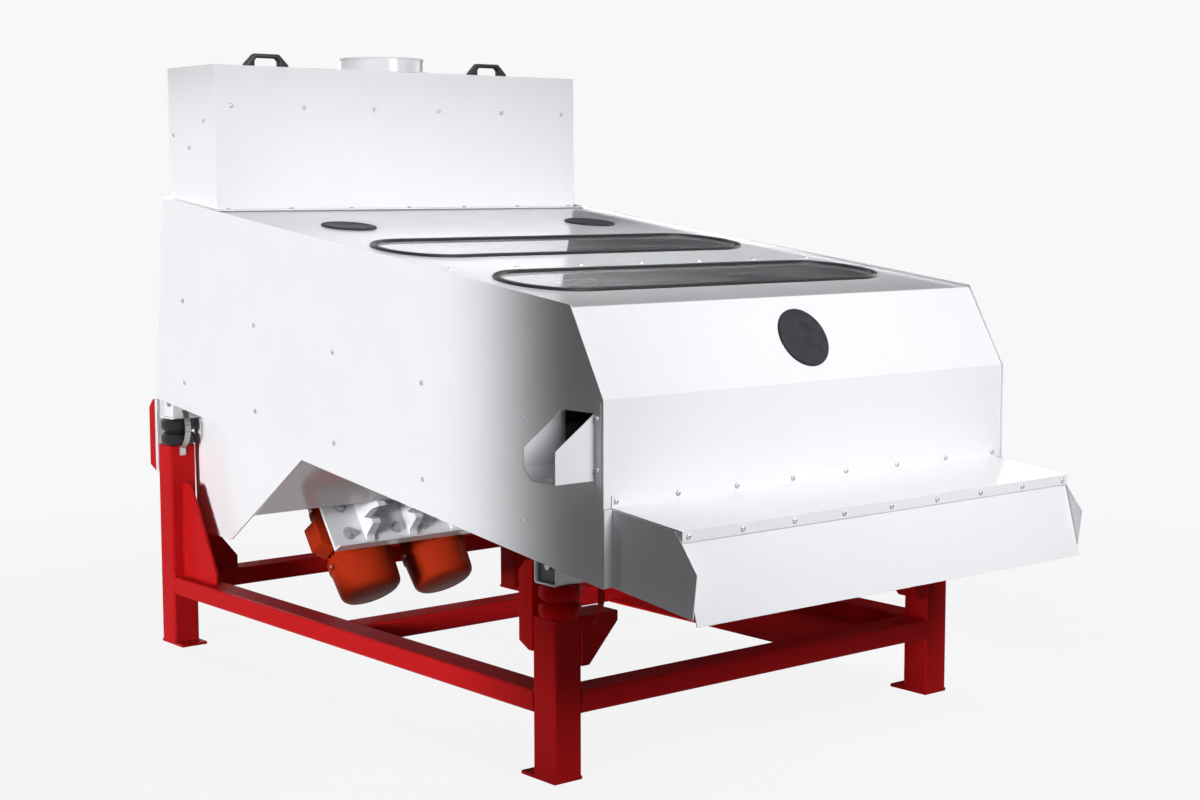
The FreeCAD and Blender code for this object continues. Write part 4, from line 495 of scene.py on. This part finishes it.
button = turned([(radius * MM, height * MM) for radius, height in BUTTON_SECTION], 12)
buttons = bmesh.new()
for corners in islands("cover_bolts"):
    middle = sum(corners, Vector()) / len(corners)
    outward = Vector((math.copysign(1, middle.x), 0, 0))
    ways = [outward, Vector((0, -1, 0)), COVER_UP]
    spans = []
    for way in ways:
        along = [corner.dot(way) for corner in corners]
        spans.append(max(along) - min(along))
    way = ways[spans.index(min(spans))]
    stamp(buttons, button, onto(middle - way * min(spans) / 2, way))
button.free()
heads = finish_mesh(buttons, "button_heads", bright, "sieve", auto=40)
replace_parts(heads, "cover_bolts")

# Inlet gasket
# A strip of grey silicone between the inlet box and the body.

dress(plain("grey silicone strip", "#77787C", 0.5), "inlet_gasket")

# Earthing straps
# Flat braids of tinned copper, pressed into a zinc-plated lug at each end. They bow to the front,
# so that in the machine they can follow the body; here each braid is drawn at rest and joined to
# neither body, while each lug is joined to one body. The two at the front were sprayed red with the frame.

braid, tree = new_material("tinned copper braid")
where = add(tree, "TexCoord").outputs["Object"]
# A wave of scale 1 repeats every 0.314 m
BRAID_PITCH, WAVE_SCALE = 3.5 * MM, 0.314
cross = []
for tilt in (35, -35):
    turn_map = add(tree, "Mapping", None, Vector=where, Rotation=(math.radians(tilt), 0, 0))
    cross.append(add(tree, "TexWave", {"bands_direction": "Z"}, Vector=turn_map.outputs[0],
                     Scale=WAVE_SCALE / BRAID_PITCH))
weave = add(tree, "Math", {"operation": "MAXIMUM"}, _0=cross[0].outputs["Fac"], _1=cross[1].outputs["Fac"])
bump = add(tree, "Bump", None, Strength=0.7, Distance=0.5 * MM, Height=weave.outputs[0])
tone = add(tree, "MixRGB", None, _0=weave.outputs[0], _1=linear("#6B6965"), _2=linear("#D8D5D0"))
shader = add(tree, "BsdfPrincipled", None, Base_Color=tone.outputs[0], Metallic=1.0, Roughness=0.42,
             Normal=bump.outputs[0])
add(tree, "OutputMaterial", Surface=shader.outputs[0])

STRAP_THICK, STRAP_TAB = 3.0 * MM, 22 * MM
LUG_LONG, LUG_THICK, LUG_EDGE, LUG_WIDER, LUG_SHIFT = 36 * MM, 5 * MM, 1.0 * MM, 1.08, 10.8 * MM
for corners in islands("earthing_straps"):
    xs, zs = [c.x for c in corners], [c.z for c in corners]
    width, x = max(xs) - min(xs), (max(xs) + min(xs)) / 2
    ends = []
    for level in (max(zs), min(zs)):
        ys = [c.y for c in corners if abs(c.z - level) < 1 * MM]
        inward = math.copysign(STRAP_TAB, sum(zs) / len(zs) - level)
        ends.append(Vector((x, (max(ys) + min(ys)) / 2, level + inward)))
    chord = ends[1] - ends[0]
    bulge = (ends[0].y + ends[1].y) / 2 - min(c.y for c in corners) - STRAP_THICK / 2
    radius = (chord.length ** 2 / 4 + bulge ** 2) / (2 * bulge)
    aside = Vector((0, -chord.z, chord.y)).normalized()
    if aside.y < 0:
        aside = -aside
    hub = (ends[0] + ends[1]) / 2 + aside * (radius - bulge)
    sweep = 2 * math.asin(chord.length / 2 / radius)
    bm = bmesh.new()
    half = Vector((width / 2, 0, 0))
    pair = [bm.verts.new(ends[0] - half), bm.verts.new(ends[0] + half)]
    line = bm.edges.new(pair)
    start = ends[0] - hub
    stop = ends[1] - hub
    side = 1 if start.cross(stop).x > 0 else -1
    bmesh.ops.spin(bm, geom=pair + [line], cent=hub, axis=(side, 0, 0), angle=sweep, steps=18)
    bmesh.ops.recalc_face_normals(bm, faces=bm.faces)
    bmesh.ops.solidify(bm, geom=bm.faces[:], thickness=STRAP_THICK)
    place = ("front" if ends[0].y < 0 else "rear") + ("_left" if x < 0 else "_right")
    red_over = "front" in place
    band = finish_mesh(bm, "braid_" + place, sprayed if red_over else braid, None, auto=40)
    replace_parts(band, "earthing_straps")
    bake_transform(band)
    for end, body, away in ((ends[0], "sieve", 1), (ends[1], "frame", -1)):
        bm = bmesh.new()
        bmesh.ops.create_cube(bm, size=1)
        bmesh.ops.scale(bm, vec=(width * LUG_WIDER, LUG_THICK, LUG_LONG), verts=bm.verts)
        bmesh.ops.bevel(bm, geom=bm.edges[:], offset=LUG_EDGE, segments=2, profile=0.5,
                        affect="EDGES", material=-1)
        bmesh.ops.translate(bm, vec=end + Vector((0, 0, away * LUG_SHIFT)), verts=bm.verts)
        finish_mesh(bm, "lug_%s_%s" % (place, body), sprayed if red_over else zinc, body,
                    auto=40)

# Windows
# Panes of tinted polycarbonate, dusty on the inside and paler towards their left ends, set in a black
# rubber profile that grips the edge of the cover and is locked by a filler strip.

seal_rubber = plain("extruded window rubber", "#131417", 0.33, grain=4.0, depth=0.15, vary=0.1,
                    shine=0.3)
# The covers' own axes: x across, and y up the slope, from the rear end of the side panels
COVER_REAR = Vector((0, 1090, 1636)) * MM
COVER = Matrix.Translation(COVER_REAR) @ Matrix.Rotation(SLOPE, 4, "X")
WINDOW_HALF, WINDOW_RADIUS = 750 * MM, 185 * MM
WINDOW_PLACES = {"rear": -1289 * MM, "front": -1952 * MM}
# The seal's section: distance from its outer edge, and height
SEAL_SECTION = [(0, 0), (0, 4), (1.2, 6.6), (3.6, 8.6), (7, 9), (9.6, 8), (11, 6.6), (12.4, 8),
                (15, 8.8), (18.6, 7.8), (21.4, 4.5), (22, 0)]
for end, along in WINDOW_PLACES.items():
    bm = bmesh.new()
    ring = [bm.verts.new((0, -WINDOW_RADIUS + inset * MM, height * MM)) for inset, height in SEAL_SECTION]
    edges = [bm.edges.new((ring[k - 1], ring[k])) for k in range(len(ring))]
    straight = WINDOW_HALF - WINDOW_RADIUS
    made = bmesh.ops.extrude_edge_only(bm, edges=edges)["geom"]
    verts = [item for item in made if isinstance(item, bmesh.types.BMVert)]
    edges = [edge for edge in made if isinstance(edge, bmesh.types.BMEdge)
             and all(vert in verts for vert in edge.verts)]
    bmesh.ops.translate(bm, vec=(straight, 0, 0), verts=verts)
    made = bmesh.ops.spin(bm, geom=verts + edges, cent=(straight, 0, 0), axis=(0, 0, 1),
                          angle=math.pi, steps=28)["geom_last"]
    edges = [item for item in made if isinstance(item, bmesh.types.BMEdge)]
    made = bmesh.ops.extrude_edge_only(bm, edges=edges)["geom"]
    verts = [item for item in made if isinstance(item, bmesh.types.BMVert)]
    bmesh.ops.translate(bm, vec=(-straight, 0, 0), verts=verts)
    bmesh.ops.mirror(bm, geom=bm.verts[:] + bm.edges[:] + bm.faces[:], matrix=Matrix.Identity(4),
                     merge_dist=SEAM, axis="X")
    bmesh.ops.remove_doubles(bm, verts=bm.verts, dist=SEAM)
    bmesh.ops.recalc_face_normals(bm, faces=bm.faces)
    bmesh.ops.transform(bm, matrix=COVER @ Matrix.Translation((0, along, 0)), verts=bm.verts)
    profile = finish_mesh(bm, "window_rubber_" + end, seal_rubber, "sieve", auto=60)
    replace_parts(profile, "window_seals")

pane, tree = new_material("tinted polycarbonate")
where = add(tree, "TexCoord").outputs["Object"]
wiped = add(tree, "Mapping", None, Vector=where, Scale=(3.2, 16, 16))
dust = add(tree, "TexNoise", None, Vector=wiped.outputs[0], Scale=1.3, Detail=8.0, Roughness=0.68)
film = add(tree, "MapRange", None, Value=dust.outputs["Fac"], From_Min=0.38, From_Max=0.72)
parts = add(tree, "SeparateXYZ", None, Vector=where)
# The colour grows paler towards the left end of each pane
lean = add(tree, "MapRange", {"clamp": True}, Value=parts.outputs[0], From_Min=-0.75, From_Max=0.15,
           To_Min=1.0, To_Max=0.15)
milky = add(tree, "Math", {"operation": "MULTIPLY"}, _0=film.outputs[0], _1=0.45)
dull = add(tree, "Math", {"operation": "ADD", "use_clamp": True}, _0=milky.outputs[0], _1=lean.outputs[0])
tone = add(tree, "MixRGB", None, _0=dull.outputs[0], _1=linear("#5E5F65"), _2=linear("#F2F2F6"))
rough = add(tree, "MapRange", None, Value=dust.outputs["Fac"], From_Min=0.3, From_Max=0.7,
            To_Min=0.05, To_Max=0.16)
shader = add(tree, "BsdfPrincipled", None, Base_Color=tone.outputs[0], Roughness=rough.outputs[0], IOR=1.58,
             Specular_IOR_Level=1.0, Coat_Weight=1.0, Coat_Roughness=0.03)
add(tree, "OutputMaterial", Surface=shader.outputs[0])
dress(pane, "window_panes")

# Inspection plugs
# Discs of dark moulded rubber with a rounded rim, pressed into round ports. Handling has left
# them mottled, dull in places and shiny in others.

plug_rubber, tree = new_material("moulded plug rubber")
where = add(tree, "TexCoord").outputs["Object"]
blot = add(tree, "TexNoise", None, Vector=where, Scale=26.0, Detail=7.0, Roughness=0.7)
fine = add(tree, "TexNoise", None, Vector=where, Scale=1 / (4 * MM), Detail=3.0)
mark = add(tree, "MapRange", None, Value=blot.outputs["Fac"], From_Min=0.36, From_Max=0.66)
tone = add(tree, "MixRGB", None, _0=mark.outputs[0], _1=linear("#121317"), _2=linear("#2E2F34"))
rough = add(tree, "MapRange", None, Value=blot.outputs["Fac"], From_Min=0.3, From_Max=0.7,
            To_Min=0.42, To_Max=0.7)
bump = add(tree, "Bump", None, Strength=0.3, Distance=0.3 * MM, Height=fine.outputs["Fac"])
shader = add(tree, "BsdfPrincipled", None, Base_Color=tone.outputs[0], Roughness=rough.outputs[0],
             IOR=SURFACE_IOR, Specular_IOR_Level=0.25, Normal=bump.outputs[0])
add(tree, "OutputMaterial", Surface=shader.outputs[0])

JOINTS = {joint["name"]: joint for joint in frame["record"]["behaviour"]["joints"]}
# The plug's section from the top of its lid down to the foot of its spigot
PLUG_SECTION = [(0, 5.9), (83, 5.9), (85.5, 6.6), (89, 7.0), (92.5, 6.2), (94.6, 4.2), (95, 2), (95, 0),
                (77, 0), (77, -16), (73, -16), (73, -1), (0, -1)]
LID_HIGH, LID_WITHIN = 7, 0.5 * MM
for plug in ("top_plug_left", "top_plug_right", "front_plug"):
    axis = Vector(JOINTS[plug + "_pull"]["axis"])
    corners = islands(plug)[0]
    top = max(corner.dot(axis) for corner in corners)
    lid = [corner for corner in corners if top - corner.dot(axis) < LID_WITHIN]
    low, high = (Vector([end(corner[k] for corner in lid) for k in range(3)]) for end in (min, max))
    centre = (low + high) / 2
    bm = turned([(radius * MM, (height - LID_HIGH) * MM) for radius, height in PLUG_SECTION], 64)
    bmesh.ops.transform(bm, matrix=onto(centre, axis), verts=bm.verts)
    disc = finish_mesh(bm, plug.replace("plug", "stopper"), plug_rubber, plug, auto=40)
    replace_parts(disc, plug)

# Handles
# Bridge handles of black glass-filled nylon, screwed to the hatches from inside.

nylon = plain("glass-filled nylon", "#141416", 0.38, grain=1.5, depth=0.15, vary=0.1)


def softened(node, width, steps, name, material, body):
    """A copy of a CAD node with rounded edges stands for it."""
    bm = bmesh.new()
    bm.from_mesh(NODES[node].data)
    bmesh.ops.remove_doubles(bm, verts=bm.verts, dist=SAME_CORNER)
    bmesh.ops.dissolve_limit(bm, angle_limit=math.radians(1), verts=bm.verts[:], edges=bm.edges[:])
    sharp = [edge for edge in bm.edges if edge.calc_face_angle(0) > math.radians(20)]
    bmesh.ops.bevel(bm, geom=sharp, offset=width, segments=steps, profile=0.5, affect="EDGES",
                    material=-1, clamp_overlap=True)
    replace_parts(finish_mesh(bm, name, material, body, auto=35), node)


for side in ("left", "right"):
    softened("handle_" + side, 4.5 * MM, 3, "grip_" + side, nylon, "hatch_" + side)

# Unbalance motors
# Ribbed cast-iron housings in orange-red enamel. Each end has a deep-drawn steel cap, held by a
# clamp ring with a screw, and the terminal box has a lid with rounded edges.

enamel = plain("orange motor enamel", "#A52E14", 0.22, grain=3.0, depth=0.12, vary=0.05, edge=1.2,
               shine=0.008)
dress(enamel, "motor_left_housing", "motor_right_housing")
BODY_HALF, CLAMP_MIDDLE, TAB_OUT, SCREW_OUT = 105 * MM, 13 * MM, 129 * MM, 134 * MM
TAB_SIZE, TAB_EDGE = Vector((10, 26, 18)) * MM, 2 * MM
# Closed sections in mm: radius, and distance from the end of the housing
CAP_SECTION = [(125.0, 0), (119.3, 112), (118, 124), (113.5, 134), (105, 141.5), (95, 145), (0, 145),
               (0, 141), (94, 141), (103, 137.5), (110, 131), (114, 122), (115.3, 112), (121, 0),
               (125.0, 0)]
CLAMP_SECTION = [(124.6, 3), (127.2, 3), (128.2, 5), (127.6, 13), (128.0, 21), (127.0, 23), (123.6, 23),
                 (124.6, 3)]
caps, clamps = bmesh.new(), bmesh.new()
cap = turned([(radius * MM, height * MM) for radius, height in CAP_SECTION], 64)
clamp = turned([(radius * MM, height * MM) for radius, height in CLAMP_SECTION], 64)
tab = bmesh.new()
bmesh.ops.create_cube(tab, size=1)
bmesh.ops.scale(tab, vec=TAB_SIZE, verts=tab.verts)
bmesh.ops.bevel(tab, geom=tab.edges[:], offset=TAB_EDGE, segments=2, profile=0.5, affect="EDGES",
                material=-1)
screws = bmesh.new()
screw = turned([(0, 0), (5 * MM, 0), (5 * MM, 3 * MM), (4 * MM, 4 * MM), (0, 4 * MM)], 10)
for side, sign in (("left", -1), ("right", 1)):
    joint = JOINTS["rotor_%s_spin" % side]
    shaft, middle = Vector(joint["axis"]), Vector(joint["pos_m"])
    for way in (1, -1):
        seat = onto(middle + shaft * way * BODY_HALF, shaft * way)
        stamp(caps, cap, seat)
        stamp(clamps, clamp, seat)
        outer = middle + shaft * way * (BODY_HALF + CLAMP_MIDDLE)
        spot = Matrix.Translation(outer + Vector((-TAB_OUT, 0, 0))) @ seat.to_3x3().to_4x4()
        stamp(clamps, tab, spot)
        stamp(screws, screw, onto(outer + Vector((-SCREW_OUT, 0, 0)), (-1, 0, 0)))
for tool in (cap, clamp, tab, screw):
    tool.free()
hoods = finish_mesh(caps, "motor_hoods", enamel, "sieve", auto=40)
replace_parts(hoods, "motor_caps")
finish_mesh(clamps, "clamp_rings", enamel, "sieve", auto=40)
finish_mesh(screws, "clamp_screws", zinc, "sieve", auto=40)
softened("terminal_boxes", 7 * MM, 3, "terminal_lids", enamel, "sieve")
